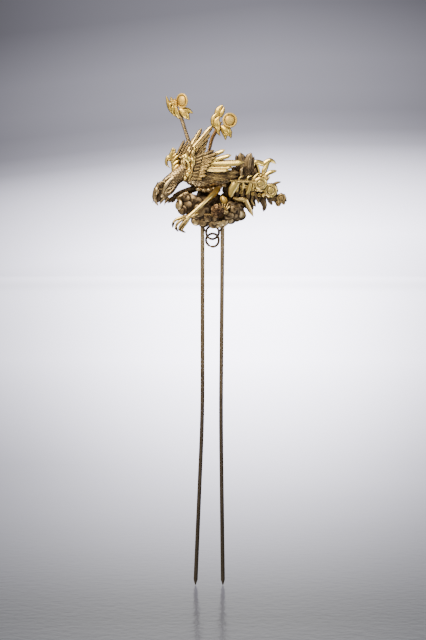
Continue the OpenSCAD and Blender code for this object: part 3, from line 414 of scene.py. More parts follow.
# %% [markdown]
# ## Soft boxes
# Polished metal shows what surrounds it more than its own colour. A large soft box above and
# to the left gives the bright faces of the feathers, and it is a little yellow, for lit gold
# looks nearly white otherwise. Three weaker boxes, on the right, over the camera and behind,
# open the shade, and the dim room round them leaves the hollows dark. A bare lamp would put
# one hard spark on every ridge.

# %% Set up the soft boxes
BIRD_MIDDLE = Vector((0, 0, 0.01))
ROOM_COLOUR, ROOM_GLOW = (0.9, 0.93, 1.0, 1), 0.13


def soft_box(name, place, size, power, tint):
    """A rectangular lamp that faces the bird."""
    lamp = bpy.data.objects.new(name, bpy.data.lights.new(name, "AREA"))
    lamp.data.shape, lamp.data.size, lamp.data.size_y = "RECTANGLE", size[0], size[1]
    lamp.data.energy, lamp.data.color = power, tint
    lamp.location = place
    lamp.rotation_euler = (BIRD_MIDDLE - lamp.location).to_track_quat("-Z", "Y").to_euler()
    bpy.context.scene.collection.objects.link(lamp)
    print(name, power, "W at", [round(v, 2) for v in place])


soft_box("box_above_left", (-0.45, -0.45, 0.75), (0.7, 0.5), 21.0, (1.0, 0.91, 0.69))
soft_box("box_right", (0.7, -0.6, 0.25), (0.3, 0.5), 3.0, (0.97, 0.98, 1.0))
soft_box("box_over_camera", (-0.25, -0.85, 0.42), (0.3, 0.25), 1.6, (1.0, 0.9, 0.7))
soft_box("box_behind", (0.1, 0.7, 0.9), (0.8, 0.4), 6.0, (1.0, 1.0, 1.0))

room = bpy.data.worlds.new("dim_room")
room.use_nodes = True
room.node_tree.nodes["Background"].inputs[0].default_value = ROOM_COLOUR
room.node_tree.nodes["Background"].inputs[1].default_value = ROOM_GLOW
bpy.context.scene.world = room

# %% [markdown]
# ## Old gilding
# Fire gilding lays a thin skin of gold over darker metal. On an old pin it stays bright on
# the ridges, turns brown on the flanks and is lost in the hollows, where dirt sits. The
# recipe adds up a point's `proud` number, how open it lies to its neighbours and two
# sizes of blotches, and reads the sum on a ramp from dark to pale gold. How open a point lies
# darkens every hollow and every gap between parts, so the dark end is dirt and painted shade
# together. Roughness follows the same sum, because rubbed places are also the polished ones.
# Seen at a grazing angle any metal turns white in a plain recipe; a brown specular tint keeps
# thin wires and edges golden.

# %% Recipe for gilding
DIRT_AND_SHADE = (0.030, 0.019, 0.012)
BROWN_EDGE, EDGE_LEVEL = (0.60, 0.43, 0.27, 1), 0.25
OPEN_SHARE, PROUD_AND_LIT_SHARE, PLAIN_LIFT = 0.34, 0.68, 0.45
TIPS, TOP_OF_PRONGS = -0.105, -0.004


def blotches(tree, scale, detail, share):
    """Patches that lighten and darken the wear by up to half their share."""
    patches = tree.grain(scale, detail)
    return tree.sum("MULTIPLY", tree.sum("SUBTRACT", patches, 0.5), share)


def wear_and_shade(tree, rubbed, chased, tarnish_and_reflection):
    """How clean and how lit the gold is, from 0 in a hollow to 1 on a rubbed ridge; its low end
    is dirt and painted shade.
    """
    # Ambient occlusion darkens hollows and gaps between parts: dirt and painted shade together.
    open_air = tree.add("ShaderNodeAmbientOcclusion", {"Distance": 0.0016}, samples=6).outputs[1]
    clean_and_lit = tree.sum("ADD", tree.sum("MULTIPLY", open_air, OPEN_SHARE),
                     blotches(tree, 420.0, 3.0, 0.6 if chased else 0.3))
    clean_and_lit = tree.sum("ADD", clean_and_lit, blotches(tree, 2300.0, 2.0, 0.2 if chased else 0.12))
    if chased:
        proud = tree.add("ShaderNodeAttribute", attribute_name="proud").outputs["Fac"]
        clean_and_lit = tree.sum("ADD", clean_and_lit, tree.sum("MULTIPLY", proud, PROUD_AND_LIT_SHARE))
    # Darker toward the tips: partly tarnish, partly a painted darker reflection of the table.
    if tarnish_and_reflection:
        height = tree.add("ShaderNodeSeparateXYZ", {0: tree.place()}).outputs["Z"]
        darker_to_tips = tree.spread(height, TIPS, TOP_OF_PRONGS, tarnish_and_reflection, 0.0)
        clean_and_lit = tree.sum("SUBTRACT", clean_and_lit, darker_to_tips)
    return tree.sum("ADD", clean_and_lit, rubbed if chased else rubbed + PLAIN_LIFT, clamp=True)


def gilding(name, pale, gold, shade, rubbed, polish=0.26, dirt_and_shade=DIRT_AND_SHADE, chased=True,
            tarnish_and_reflection=0.0):
    """Old gilding; rubbed makes it paler, polish smoother, tarnish_and_reflection darker toward
    the tips, as tarnish and a painted darker reflection.
    """
    tree = Tree(name)
    clean_and_lit = wear_and_shade(tree, rubbed, chased, tarnish_and_reflection)
    colour = tree.ramp(clean_and_lit, [(0.22, dirt_and_shade), (0.47, shade), (0.74, gold), (0.97, pale)])
    rough = tree.spread(clean_and_lit, 0.25, 0.9, 0.58, polish)
    bare = tree.spread(clean_and_lit, 0.12, 0.4, 0.45, 1.0)
    tooling = tree.add("ShaderNodeBump", {"Height": tree.grain(3600.0, 2.0), "Strength": 0.15,
                                          "Distance": 0.00006})
    metal = tree.add("ShaderNodeBsdfPrincipled", {
        "Base Color": colour, "Roughness": rough, "Metallic": bare,
        "Normal": tooling.outputs[0], "Specular IOR Level": EDGE_LEVEL,
        "Specular Tint": BROWN_EDGE})
    tree.links.new(metal.outputs[0], tree.output.inputs[0])
    return tree.material


# The darkest colour stands for dirt and for painted shade in hollows and gaps.
print("dirt in the hollows", DIRT_AND_SHADE, "and a brown tint on the edges", BROWN_EDGE[:3])

# %% [markdown]
# ## Five tones of gold
# The pin was gilded in one go, but its parts differ in tone: wings and plumes get the palest
# gold, the body and the clouds darker gold, and the springs are brown wire. Each tone below is
# three colours, from pale gold over gold to shade. One gilding with a painted mask would also
# do, but then a change to one part would touch the others.

# %% Tones of gold
bright_gilding = gilding("bright_gilding", (1.0, 0.73, 0.20), (0.74, 0.51, 0.18),
                         (0.15, 0.104, 0.058), rubbed=-0.03, polish=0.29)
warm_gilding = gilding("warm_gilding", (0.92, 0.66, 0.24), (0.56, 0.38, 0.15),
                       (0.13, 0.09, 0.053), rubbed=-0.07)
worn_gilding = gilding("worn_gilding", (0.78, 0.57, 0.29), (0.42, 0.295, 0.15),
                       (0.115, 0.078, 0.048), rubbed=-0.1, polish=0.3)
coil_gilding = gilding("coil_gilding", (0.55, 0.36, 0.16), (0.30, 0.165, 0.065),
                       (0.09, 0.045, 0.022), rubbed=-0.08, polish=0.3)
cloud_gilding = gilding("cloud_gilding", (0.78, 0.58, 0.29), (0.40, 0.28, 0.14),
                        (0.11, 0.075, 0.047), rubbed=-0.1, polish=0.4)
print("gildings", [m.name for m in bpy.data.materials if m.name.endswith("gilding")])

# %% [markdown]
# ## A chased blade
# Nearly every feather and leaf is a strip of sheet metal that is cut to a point, bent, and
# then chased with a punch. A blade is swept along a curve, its width follows a small table,
# and a relief function says how high the metal stands at each place across and along it.
# A flat card with a bump map looks the same from the front, but its edge gives it away.

# %% Shape of a blade
FEATHER = (0.5, 0.9, 1.0, 0.98, 0.86, 0.12)
LEAF = (0.35, 0.85, 1.0, 0.75, 0.06)


def outline(q, start=0.7):
    """1 on the face of a blade and 0 at its cut edge, which is darkened as painted shade."""
    return max(0.0, min(1.0, (0.93 - abs(q)) / (0.93 - start)))


def plain(q, s):
    """A smooth lens with a soft middle ridge."""
    return 0.7 + 0.3 * math.exp(-(q / 0.25) ** 2), 0.95 * outline(q)


def barbed(count, slant):
    """A rib with slanted barbs on both sides, like a real feather."""
    def relief(q, s):
        rib = math.exp(-(q / 0.17) ** 2)
        wave = 0.5 + 0.5 * math.cos(math.tau * (count * s - slant * abs(q)))
        height = 0.45 + 0.35 * wave * (1 - rib) + 0.55 * rib
        stands = 0.10 + 0.5 * wave * (1 - rib) + 0.85 * rib
        return height, min(stands, 1.0) * outline(q, 0.75)
    return relief


def fluted(ridges, count=0):
    """Ridges that run the whole length, as on long flight feathers."""
    def relief(q, s):
        flute = abs(math.cos(0.5 * math.pi * ridges * q))
        nick = 0.12 * math.cos(math.tau * (count * s - abs(q))) if count else 0.0
        return 0.5 + 0.5 * flute + nick, (0.1 + 0.85 * flute + nick) * outline(q, 0.75)
    return relief


def faced(groove=0.0, at=0.0):
    """A broad bright face between edges darkened as painted shade, with one chased groove if
    wanted.
    """
    def relief(q, s):
        cut = groove * math.exp(-((q - at) / 0.16) ** 2) * min(1.0, 5 * s, 4 * (1 - s))
        return 1.1 - 0.7 * q * q - 0.6 * cut, 0.98 * outline(q) * (1 - cut)
    return relief


def blade(cast, points, width, thick, swell, relief, face=TOWARD_VIEWER, steps=18, across=8,
          cup=0.0):
    """Sweeps a pointed strip through the points; cup bends its edges toward the face."""
    rings, prouds = [], []
    for j in range(steps + 1):
        s = j / steps
        centre, ahead = on_curve(points, s), heading(points, s)
        side = ahead.cross(face).normalized()
        out = side.cross(ahead).normalized()
        share = along_table(swell, s)
        half = max(width * share, 0.07) / 2
        deep = max(thick * (0.4 + 0.6 * share), 0.07) / 2
        ring, proud = [], []
        for i in range(2 * across):
            q = -1 + 2 * i / across if i <= across else 3 - 2 * i / across
            height, stands = relief(q, s)
            lens = math.sqrt(max(1 - abs(q) ** 3, 0.0))
            lift = deep * height * lens * (1 if i < across else -0.75)
            ring.append(centre + side * half * q + out * (lift + cup * half * q * q))
            proud.append(stands)
        rings.append(ring)
        prouds.append(proud)
    cast.skin(rings, prouds)


print("widths along a feather", [round(along_table(FEATHER, k / 4), 2) for k in range(5)])

# %% [markdown]
# ## Wire, grains and curls
# Wire is a round sweep, a grain is a small ball, and a curl is wire that winds inward. These
# three are what filigree is made of, so they are written once and used everywhere. A strand
# and a set of curls are the same things given straight on the drawing grid.

# %% Shapes of filigree
CURL_STEPS, CURL_RISE = 12, 0.4


def wire(cast, points, radii, sides=8, steps=24, proud=0.75, face=TOWARD_VIEWER):
    """A round wire through the points; radii is a table of its radius from end to end."""
    rings, prouds = [], []
    for j in range(steps + 1):
        s = j / steps
        centre, ahead = on_curve(points, s), heading(points, s)
        side = ahead.cross(face)
        side = side.normalized() if side.length > 0.05 else ahead.orthogonal().normalized()
        out = side.cross(ahead).normalized()
        r = along_table(radii, s)
        turns = [math.tau * i / sides for i in range(sides)]
        rings.append([centre + r * (math.cos(t) * side - math.sin(t) * out) for t in turns])
        prouds.append([proud * (0.75 - 0.25 * math.sin(t)) for t in turns])
    cast.skin(rings, prouds)


def grain(cast, centre, r, squash=(1, 1, 1), proud=0.85, sides=10):
    """A small ball of metal."""
    rings, prouds = [], []
    rows = max(sides // 2, 4)
    for j in range(rows + 1):
        lean = math.pi * (j + 0.04) / (rows + 0.08)
        ring = []
        for i in range(sides):
            t = math.tau * i / sides
            ring.append(centre + Vector((r * squash[0] * math.sin(lean) * math.cos(t),
                                         r * squash[1] * math.sin(lean) * math.sin(t),
                                         -r * squash[2] * math.cos(lean))))
        rings.append(ring)
        prouds.append([proud] * sides)
    cast.skin(rings, prouds)


def curl(cast, centre, r, thick, turns, start, hand=1, face=TOWARD_VIEWER):
    """Wire that winds inward round a centre, and rises a little as it does."""
    side = Vector((1, 0, 0)) if abs(face.x) < 0.7 else Vector((0, 1, 0))
    side = (side - face * side.dot(face)).normalized()
    up = face.cross(side)
    points = []
    for j in range(CURL_STEPS + 1):
        s = j / CURL_STEPS
        turn = math.radians(start) + hand * math.tau * turns * s
        reach = r * (1 - 0.8 * s)
        points.append(centre + reach * (math.cos(turn) * side + math.sin(turn) * up)
                      + face * CURL_RISE * thick * s)
    wire(cast, points, (0.5 * thick, 0.5 * thick, 0.32 * thick), steps=int(26 * turns))
    grain(cast, centre + face * CURL_RISE * thick, 0.2 * r)


def strand(cast, rows, radii, **finish):
    """A wire through grid points."""
    wire(cast, [spot(*row) for row in rows], radii, **finish)


def curls(cast, rows, depth, r, thick, turns=1.3):
    """Curls at one depth; each row is a column, a row and the angle the wire starts at."""
    for col, row, start in rows:
        curl(cast, spot(col, row, depth), r, thick, turns, start)


print("a curl takes", CURL_STEPS, "steps and rises by", CURL_RISE, "of its wire")

# %% [markdown]
# ## The bird's body
# Body and neck are two lofts that run into each other at the breast: oval rings whose centre,
# height and width come from a table. Small overlapping feathers cover them. Each is an oval
# that rises toward its tip, and the one nearer the breast lies on top, so the pattern can be
# worked out point by point while the rings are laid. The root of each feather is darkened as
# a painted shadow of the edge over it.

# %% Body and neck
BODY_AT, BODY_LEN, BODY_H, BODY_D = Vector((-1.19, 0, 16.65)), 17.0, 7.5, 6.8
NECK_ROOT, NECK_LEN = Vector((-9.35, 0, 19.2)), 13.6
BODY_ROWS = [(-0.53, 0.30, 0.06, 0.05), (-0.51, 0.28, 0.24, 0.22), (-0.46, 0.26, 0.36, 0.34),
             (-0.38, 0.22, 0.43, 0.42), (-0.28, 0.12, 0.47, 0.46), (-0.12, 0.00, 0.50, 0.50),
             (0.06, 0.00, 0.46, 0.50), (0.24, -0.02, 0.37, 0.42), (0.40, -0.07, 0.22, 0.25),
             (0.50, -0.09, 0.08, 0.10)]
NECK_ROWS = [(0.10, 0.05, 0.19, 0.15), (0.00, 0.00, 0.215, 0.165),
             (-0.125, -0.075, 0.185, 0.145), (-0.275, -0.20, 0.180, 0.135),
             (-0.39, -0.33, 0.200, 0.150), (-0.475, -0.45, 0.195, 0.150),
             (-0.55, -0.56, 0.135, 0.115), (-0.60, -0.64, 0.07, 0.07)]


def small_feathers(u, v):
    """How far out the metal stands where scale-like feathers overlap, from 0 to 1; it also paints
    a shadow at the root of each feather.
    """
    row = math.floor(u)
    for r in (row - 2, row - 1, row):
        middle = round(v - 0.5 * (r % 2)) + 0.5 * (r % 2)
        if ((u - r - 0.6) / 1.15) ** 2 + ((v - middle) / 0.6) ** 2 < 1:
            return min(max((u - r) / 1.75, 0.0), 1.0)
    return 0.0


def feathered_loft(cast, rows, rings, around, pitch, count, depth, bare_from=2.0):
    """Lofts oval rings and lays small feathers over them.

    Pitch is the way from one row of feathers to the next, count how many lie round the body,
    and bare_from the share of the way at which they stop.
    """
    table = [Vector((r[0], r[1], r[2])) for r in rows]
    widths = [r[3] for r in rows]
    travelled, last = 0.0, None
    skins, prouds = [], []
    for j in range(rings + 1):
        s = j / rings
        here = on_curve(table, s)
        ahead = on_curve(table, s + 0.01) - on_curve(table, s - 0.01)
        ahead = Vector((ahead.x, 0, ahead.y)).normalized()
        centre = Vector((here.x, 0, here.y))
        travelled += (centre - last).length if last else 0.0
        last = centre
        out = Vector((0, -1, 0))
        up = ahead.cross(out)
        wide = along_table(widths, s)
        ring, proud = [], []
        for i in range(around):
            turn = math.tau * i / around
            stands = small_feathers(travelled / pitch, i / around * count)
            fade = min(max((bare_from - s) / 0.12, 0.0), 1.0)
            lift = depth * (stands - 0.5) * fade * min(1.0, here.z / 1.5)
            ring.append(centre + (here.z + lift) * math.cos(turn) * up
                        - (wide + lift) * math.sin(turn) * out)
            proud.append(stands * fade + 0.55 * (1 - fade))
        skins.append(ring)
        prouds.append(proud)
    cast.skin(skins, prouds)


bird = Casting("phoenix_body_cast")
feathered_loft(bird, [(BODY_AT.x + r[0] * BODY_LEN, BODY_AT.z + r[1] * BODY_H, r[2] * BODY_H,
                       r[3] * BODY_D) for r in BODY_ROWS],
               rings=96, around=96, pitch=1.05, count=20, depth=0.34)
feathered_loft(bird, [(NECK_ROOT.x + r[0] * NECK_LEN, NECK_ROOT.z + r[1] * NECK_LEN,
                       r[2] * NECK_LEN, r[3] * NECK_LEN) for r in NECK_ROWS],
               rings=84, around=72, pitch=0.8, count=16, depth=0.3, bare_from=0.74)
print("body and neck", len(bird.points), "points")

# %% [markdown]
# ## Eyes, brow and cheeks
# The head is left smooth and its features are laid on: a ringed eye under a brow, a broad
# feather down the cheek, and a curl behind it. Each line is given once, for the side toward
# the far wing, and mirrored in depth for the other. Laying wire and grains on a plain form is
# how such heads were finished.

# %% Eyes and cheeks
BOTH_SIDES = (-1, 1)
EYE, HEAD_HALF = (161.8, 186.5), 2.0
CHEEK = [(174.5, 176.5, 1.7), (168.5, 182.5, 2.15), (164.8, 188.5, 2.2), (162.6, 195.5, 1.5)]
BROW = [(158.0, 184.5, 1.6), (161.0, 182.2, 2.05), (165.5, 182.0, 2.15), (169.0, 184.8, 2.1)]
JAW = [(165.5, 189.5, 2.05), (168.5, 192.5, 2.0), (172.0, 190.5, 2.0), (176.5, 184.5, 1.9)]
MOUTH = [(158.8, 189.0, 1.25), (160.5, 192.5, 1.5), (162.0, 196.0, 1.2)]
CHEEK_DOWN = [(171.5, 179.5), (167.0, 178.8), (169.5, 188.5)]


def on_side(rows, side):
    """Grid points on one side of the head."""
    return [spot(col, row, side * depth) for col, row, depth in rows]


for side in BOTH_SIDES:
    face = Vector((0, side, 0))
    eye = spot(*EYE, side * (HEAD_HALF - 0.15))
    grain(bird, eye, 0.86, (1, 0.5, 1), proud=0.12, sides=16)
    grain(bird, eye + 0.3 * face, 0.4, (1, 0.8, 1), proud=0.3)
    ring = [eye + 0.12 * face + 0.92 * Vector((math.cos(t), 0, math.sin(t)))
            for t in [math.tau * k / 12 for k in range(13)]]
    wire(bird, ring, (0.16, 0.16), sides=6, steps=24, proud=0.7)
    blade(bird, on_side(CHEEK, side), 1.5, 0.8, LEAF, faced(), face, steps=16, across=8)
    grain(bird, spot(157.4, 190.8, side * 1.0), 0.95, (0.9, 0.7, 1.5), proud=1.0, sides=14)
    wire(bird, on_side(BROW, side), (0.14, 0.3, 0.3, 0.12), proud=0.95)
    curl(bird, spot(174.3, 184.0, side * 2.1), 0.95, 0.36, 1.4, 200, -side, face=face)
    wire(bird, on_side(JAW, side), (0.1, 0.26, 0.26, 0.12), proud=0.9)
    wire(bird, on_side(MOUTH, side), (0.1, 0.2, 0.08), proud=0.2)
    for col, row in CHEEK_DOWN:
        down = [(col + 4, row - 1.5, 1.9), (col, row, 2.15), (col - 4.5, row + 3.5, 1.9)]
        blade(bird, on_side(down, side), 0.75, 0.5, LEAF, plain, face, steps=8, across=4)
print("the eyes stand", round(2 * (HEAD_HALF - 0.15), 1), "mm apart")

# %% [markdown]
# ## Beak and belly
# The hooked beak stands open: an upper half that bends down, a shorter lower half, a dark
# tongue between them and three small bristles. Rounded feathers hang under the belly, one row
# on each side, and each is a flat grain with a curl of wire on it. Sculpting would be freer,
# but strands keep the place and the thickness of each line in a few plain numbers.

# %% Beak and belly
strand(bird, [(161.5, 184.5), (157.6, 190.0), (155.0, 196.5), (156.2, 202.0), (158.4, 205.8)],
       (1.5, 1.3, 0.95, 0.55, 0.12), sides=12, proud=0.8)
strand(bird, [(167.5, 190.0), (165.0, 196.0), (162.0, 200.5), (160.0, 204.5)],
       (1.3, 1.1, 0.6, 0.12), sides=12, proud=0.7)
strand(bird, [(163.5, 189.0), (161.0, 194.5), (159.0, 199.5), (158.6, 202.5)],
       (1.1, 1.15, 0.8, 0.2), sides=12, proud=0.15)
strand(bird, [(155.6, 198.0), (153.8, 200.5), (152.8, 203.0)], (0.3, 0.2, 0.06))
strand(bird, [(168.5, 197.0), (166.0, 201.0), (164.6, 205.5)], (0.42, 0.36, 0.06))
strand(bird, [(158.5, 186.0), (155.8, 188.5), (153.6, 188.2)], (0.32, 0.2, 0.06))

BELLY = [(199, 189.3, 1.0), (204.5, 190.3, 1.1), (209.5, 190.2, 1.15), (214.5, 188.8, 1.05),
         (219, 187.5, 0.9), (224, 185.5, 0.8)]
for side in BOTH_SIDES:
    for col, row, r in BELLY:
        grain(bird, spot(col, row, side * 1.7), r, (1.25, 0.9, 0.8), proud=0.85, sides=14)
        curl(bird, spot(col + 0.6, row + 0.6, side * (1.7 + 0.85 * r)), 0.62 * r, 0.22, 1.1,
             120, side, face=Vector((0, side, -0.25)).normalized())
bird.pour(worn_gilding, "worn_gilt", "phoenix_body")

# %% [markdown]
# ## The crest
# A stem bends over the head and hooks forward into a crescent, and two straight leaves rise
# beside it. Five short leaves stand off behind and two dark ones fill the gap to the neck. All
# are broad blades with bright faces and dark edges. Each row below holds a width and then the
# points of its line, both read off the drawing grid, so a wrong curve is mended by one pair
# of numbers. Drawing each leaf by hand in edit mode would be freer, but harder to correct.

# %% Leaves on the grid, and the crest
BLUNT = (0.75, 1.0, 1.0, 0.95, 0.45)
CRESCENT = (0.45, 0.9, 1.0, 0.95, 0.7, 0.1)
LEAF_ACROSS = 10


def leaves(cast, rows, depth, relief, thick, swell, steps=22, stagger=0.07):
    """Blades through grid points; each row is a width in squares and then its points."""
    for k, (wide, *track) in enumerate(rows):
        points = [spot(p[0], p[1], depth + (p[2] if len(p) > 2 else 0.0) - stagger * (k % 4))
                  for p in track]
        blade(cast, points, wide * SQUARE, thick, swell, relief, steps=steps,
              across=LEAF_ACROSS)


CREST_STEM = [(4.4, (174.6, 176), (173.4, 171), (173.4, 166), (172.8, 161.6), (170.6, 157.6),
               (168.2, 158.0), (166.6, 161.6), (167.2, 165.4), (170.6, 168.4)),
              (4.8, (173.2, 163), (171.0, 157.4), (172.4, 152.8), (173.3, 147.6)),
              (2.8, (173.8, 161), (173.6, 155.6), (174.9, 152), (175.3, 148.4))]
CREST_LEAVES = [(4.2, (173.2, 162.0), (175.6, 158.8), (179.4, 155.2)),
                (4.0, (173.4, 166.6), (175.8, 163.6), (179.6, 160.4)),
                (4.0, (173.8, 171.2), (176, 168.0), (179.8, 164.4)),
                (2.6, (173.0, 157.6), (174.8, 155.6), (177.2, 153.2)),
                (3.0, (175.2, 174.6), (177.4, 171.6), (180.4, 169))]
CREST_BACK = [(7.5, (184, 177), (181, 169), (178.5, 158.5)),
              (6.0, (179, 176), (176.5, 169), (175.4, 159))]
crest = Casting("crest_cast")
crest.tone = 0.4
leaves(crest, CREST_BACK, 0.45, faced(0.5), thick=0.6, swell=BLUNT)
crest.tone = 1.0
leaves(crest, CREST_STEM, 0.0, faced(0.35, 0.15), thick=0.95, swell=CRESCENT, steps=48)
leaves(crest, CREST_LEAVES, -0.15, faced(), thick=0.85, swell=BLUNT[:4] + (0.1,))
grain(crest, spot(169.4, 160.6, -0.5), 0.36)
grain(crest, spot(174.6, 175.6, 0), 0.95, (1, 1.3, 0.9))
crest.pour(bright_gilding, "bright_gilt", "crest")

# %% [markdown]
# ## Feathers in rows
# A wing is rows of feathers that overlap like roof tiles. Each feather is set by its root, its
# tip and its width, and the helper bends it a little, tilts its face upward, and sets the next
# one a little deeper. An array modifier would copy one feather, but no two on the pin are the
# same length.

# %% Feathers in rows
def lay_feathers(cast, rows, depth, fall, relief, thick, bow=0.5, steps=30, across=10,
                 tilt=0.12, apart=0.0):
    """Lays one row of feathers; fall is how far a tip stands off from its root."""
    for k, (c0, r0, c1, r1, wide) in enumerate(rows):
        level = depth - apart * k
        root, tip = spot(c0, r0, level), spot(c1, r1, level + fall)
        span = tip - root
        belly = span.cross(TOWARD_VIEWER).normalized() * bow * (0.5 if k % 2 else 0.35)
        face = (TOWARD_VIEWER + Vector((0, 0, tilt))).normalized()
        blade(cast, [root, root + 0.35 * span + belly, root + 0.72 * span + 0.7 * belly, tip],
              wide * SQUARE, thick, FEATHER, relief, face, steps, across)


print("a feather is", FEATHER[0], "of its width at the root and", FEATHER[-1], "at the tip")

# %% [markdown]
# ## The near wing
# Long flight feathers fan out behind: the upper ones are smooth and the brightest metal of the
# bird, the lower ones fluted and darker. Over them lie a row of broad coverts and a short row
# of fluted ones, which are darker too. Every feather is its own blade, so the layers cast
# small shadows as the real ones do; one sheet with cut lines would show none.

# %% Near wing
NEAR_FLIGHT = [(203, 157.5, 225.0, 150.2, 4.8), (204, 160, 231.2, 155.2, 5.2),
               (205, 162.6, 244, 162.6, 7.0), (204, 166.2, 232.5, 167.4, 4.0),
               (203, 169, 229.5, 170.4, 3.6), (206, 171, 239, 172.4, 5.4),
               (204, 172.5, 237, 176.6, 5.4), (200, 174.5, 229, 179.8, 5.2),
               (197, 176.5, 215, 181.6, 4.8)]
NEAR_COVERTS = [(194, 158.2, 214.4, 150.6, 4.2), (194, 161, 218, 153.2, 4.0),
                (194, 163.6, 216.5, 157, 3.9), (194, 166.2, 213.5, 160.8, 3.9),
                (194, 168.8, 211.2, 164.6, 3.9), (193.5, 171.2, 208.6, 168.2, 3.9),
                (193, 173.6, 206.6, 171.8, 3.9), (192.5, 176, 206.6, 175.4, 3.9),
                (191, 178.4, 202, 178.8, 3.6)]
NEAR_SHORT = [(192.4, 158.4 + 2.7 * k, 204 - 0.8 * k, 154.2 + 3.5 * k, 3.4) for k in range(8)]

near_wing = Casting("wing_near_cast")
lay_feathers(near_wing, NEAR_FLIGHT[:5], -3.7, -0.9, faced(0.25, -0.45), thick=0.8, bow=0.9,
             tilt=0.3, apart=0.13)
near_wing.tone = 0.4
lay_feathers(near_wing, NEAR_FLIGHT[5:], -3.5, -0.3, fluted(2.4, 9), thick=0.7, bow=0.7)
near_wing.tone = 0.5
lay_feathers(near_wing, NEAR_COVERTS[:1], -4.45, -0.35, barbed(12, 1.2), thick=0.8, steps=64)
lay_feathers(near_wing, NEAR_COVERTS[1:], -4.45, -0.35, faced(0.7), thick=0.95, across=12)
near_wing.tone = 0.45
lay_feathers(near_wing, NEAR_SHORT, -4.85, -0.1, fluted(2.0), thick=0.8, across=14)
near_wing.tone = 0.9
strand(near_wing, [(189, 181, -3.9), (191.5, 172, -4.4), (193.3, 162, -4.6),
                   (195.2, 148.6, -4.0)], (0.5, 0.8, 0.95, 0.5), sides=14)
near_wing.pour(bright_gilding, "bright_gilt", "wing_near")

# %% [markdown]
# ## The far wing
# The wing behind the neck opens upward and leans away from the body. Its long feathers have
# broad faces with one chased groove, and the row next to the neck is narrower and darker. A
# blade carries its relief on both faces, which pays here, for this wing is what shows from
# behind.

# %% Far wing
FAR_FLIGHT = [(188, 152, 201.6, 128.8, 4.8), (189, 153.5, 212.9, 125.6, 5.8),
              (191.5, 154, 210.6, 134.6, 4.2), (193, 155.5, 208.4, 140.6, 3.4),
              (194.5, 157, 206.9, 143.9, 3.6), (196, 158.5, 206.4, 148.2, 3.4),
              (187, 152, 193.6, 138.4, 3.4)]
FAR_COVERTS = [(176.2, 156.5, 184.6, 140.2, 2.9), (178.4, 158, 187.6, 140.4, 2.9),
               (180.6, 159, 189.4, 143.2, 2.9), (182.8, 160, 191, 145.4, 2.9),
               (185, 161, 193, 147, 3.0), (187.2, 161.5, 196.4, 147, 3.2),
               (189.4, 162, 199, 148.6, 3.4), (191.6, 162.5, 201.6, 151.4, 3.4)]
far_wing = Casting("wing_far_cast")
lay_feathers(far_wing, FAR_FLIGHT[:3], 4.0, 1.9, faced(0.7, 0.1), thick=0.85, bow=0.3)
far_wing.tone = 0.65
lay_feathers(far_wing, FAR_FLIGHT[3:], 4.1, 1.9, faced(0.6), thick=0.75, bow=0.3, apart=0.05)
far_wing.tone = 0.5
lay_feathers(far_wing, FAR_COVERTS[:5], 3.6, 1.0, faced(0.8), thick=0.8, steps=40, bow=0.1)
lay_feathers(far_wing, FAR_COVERTS[5:], 3.5, 1.0, fluted(1.6, 10), thick=0.7, steps=50, bow=0.1)
far_wing.tone = 0.6
strand(far_wing, [(197, 176, 3.6), (192, 167, 3.7), (185, 160.5, 3.7), (177, 157.5, 3.9)],
       (0.7, 1.1, 1.1, 0.5), sides=14)
far_wing.pour(warm_gilding, "warm_gilt", "wing_far")

# %% [markdown]
# ## The ruff
# Where the near wing meets the breast sits a heap of soft lobes with fingers that hang down
# the neck, and a row of beads below. It stands proud of everything, so wear keeps it bright.
# The lobes are fat blades with round ends, which give a fold between two lobes its dark line;
# a heap of balls would have no direction.

# %% Ruff of the shoulder
RUFF_LOBES = [(7.6, (190.8, 161.5), (187.4, 158.4), (185.2, 154.2)),
              (5.6, (187.6, 160.5), (184.6, 157.6), (182.6, 156.4)),
              (5.2, (191.4, 158.5), (193.2, 154), (194.2, 150)),
              (2.8, (193.6, 156), (194.7, 151), (194.8, 147.4)),
              (5.6, (191.5, 158), (193.4, 161), (193.6, 166.5)),
              (3.8, (184.8, 159.4), (184.2, 164), (186.2, 169)),
              (3.6, (188.4, 160), (188.8, 165), (190.6, 169.6)),
              (2.6, (182.8, 160), (182.2, 163.4), (183.6, 166.6)),
              (3.2, (192.2, 164), (192.6, 169), (191.4, 173))]
RUFF_BEADS = [(189.7, 170.4, 0.80), (188.0, 174.5, 0.74), (185.6, 178.0, 0.64)]
RUFF_ARCH, RUFF_TONES = (0.15, -0.45, 0.0), (1.0, 0.8, 0.6)
ruff = Casting("shoulder_ruff_cast")
for k, (wide, *track) in enumerate(RUFF_LOBES):
    points = [spot(c, r, -4.6 - 0.1 * (k % 3) + lift) for (c, r), lift in zip(track, RUFF_ARCH)]
    ruff.tone = RUFF_TONES[k % 3]
    blade(ruff, points, wide * SQUARE, 1.25, BLUNT, faced(), steps=14, across=10)
ruff.tone = 1.0
grain(ruff, spot(186.8, 158.2, -5.0), 1.15, (1.1, 0.7, 0.95), proud=1.0, sides=24)
curl(ruff, spot(184.9, 162.6, -5.6), 0.46, 0.24, 1.0, 160)
for col, row, r in RUFF_BEADS:
    grain(ruff, spot(col, row, -5.0), r, (1, 0.8, 1), proud=1.0, sides=14)
ruff.tone = 0.6
strand(ruff, [(184.5, 181.5, -4.2), (188, 175, -4.5), (191, 168, -4.5), (191, 160, -4.5)],
       (0.45, 0.6, 0.6))
ruff.pour(bright_gilding, "bright_gilt", "shoulder_ruff")

# %% [markdown]
# ## The near leg
# The near leg reaches forward past the clouds and spreads four long toes and a spur. It is a
# smooth wire that swells toward the thigh. Each toe is a thinner wire with three knuckles, and
# its last quarter is covered by a short dark one, which is the claw. A skin modifier over a
# few edges would round the joints too, but its thickness is harder to steer.

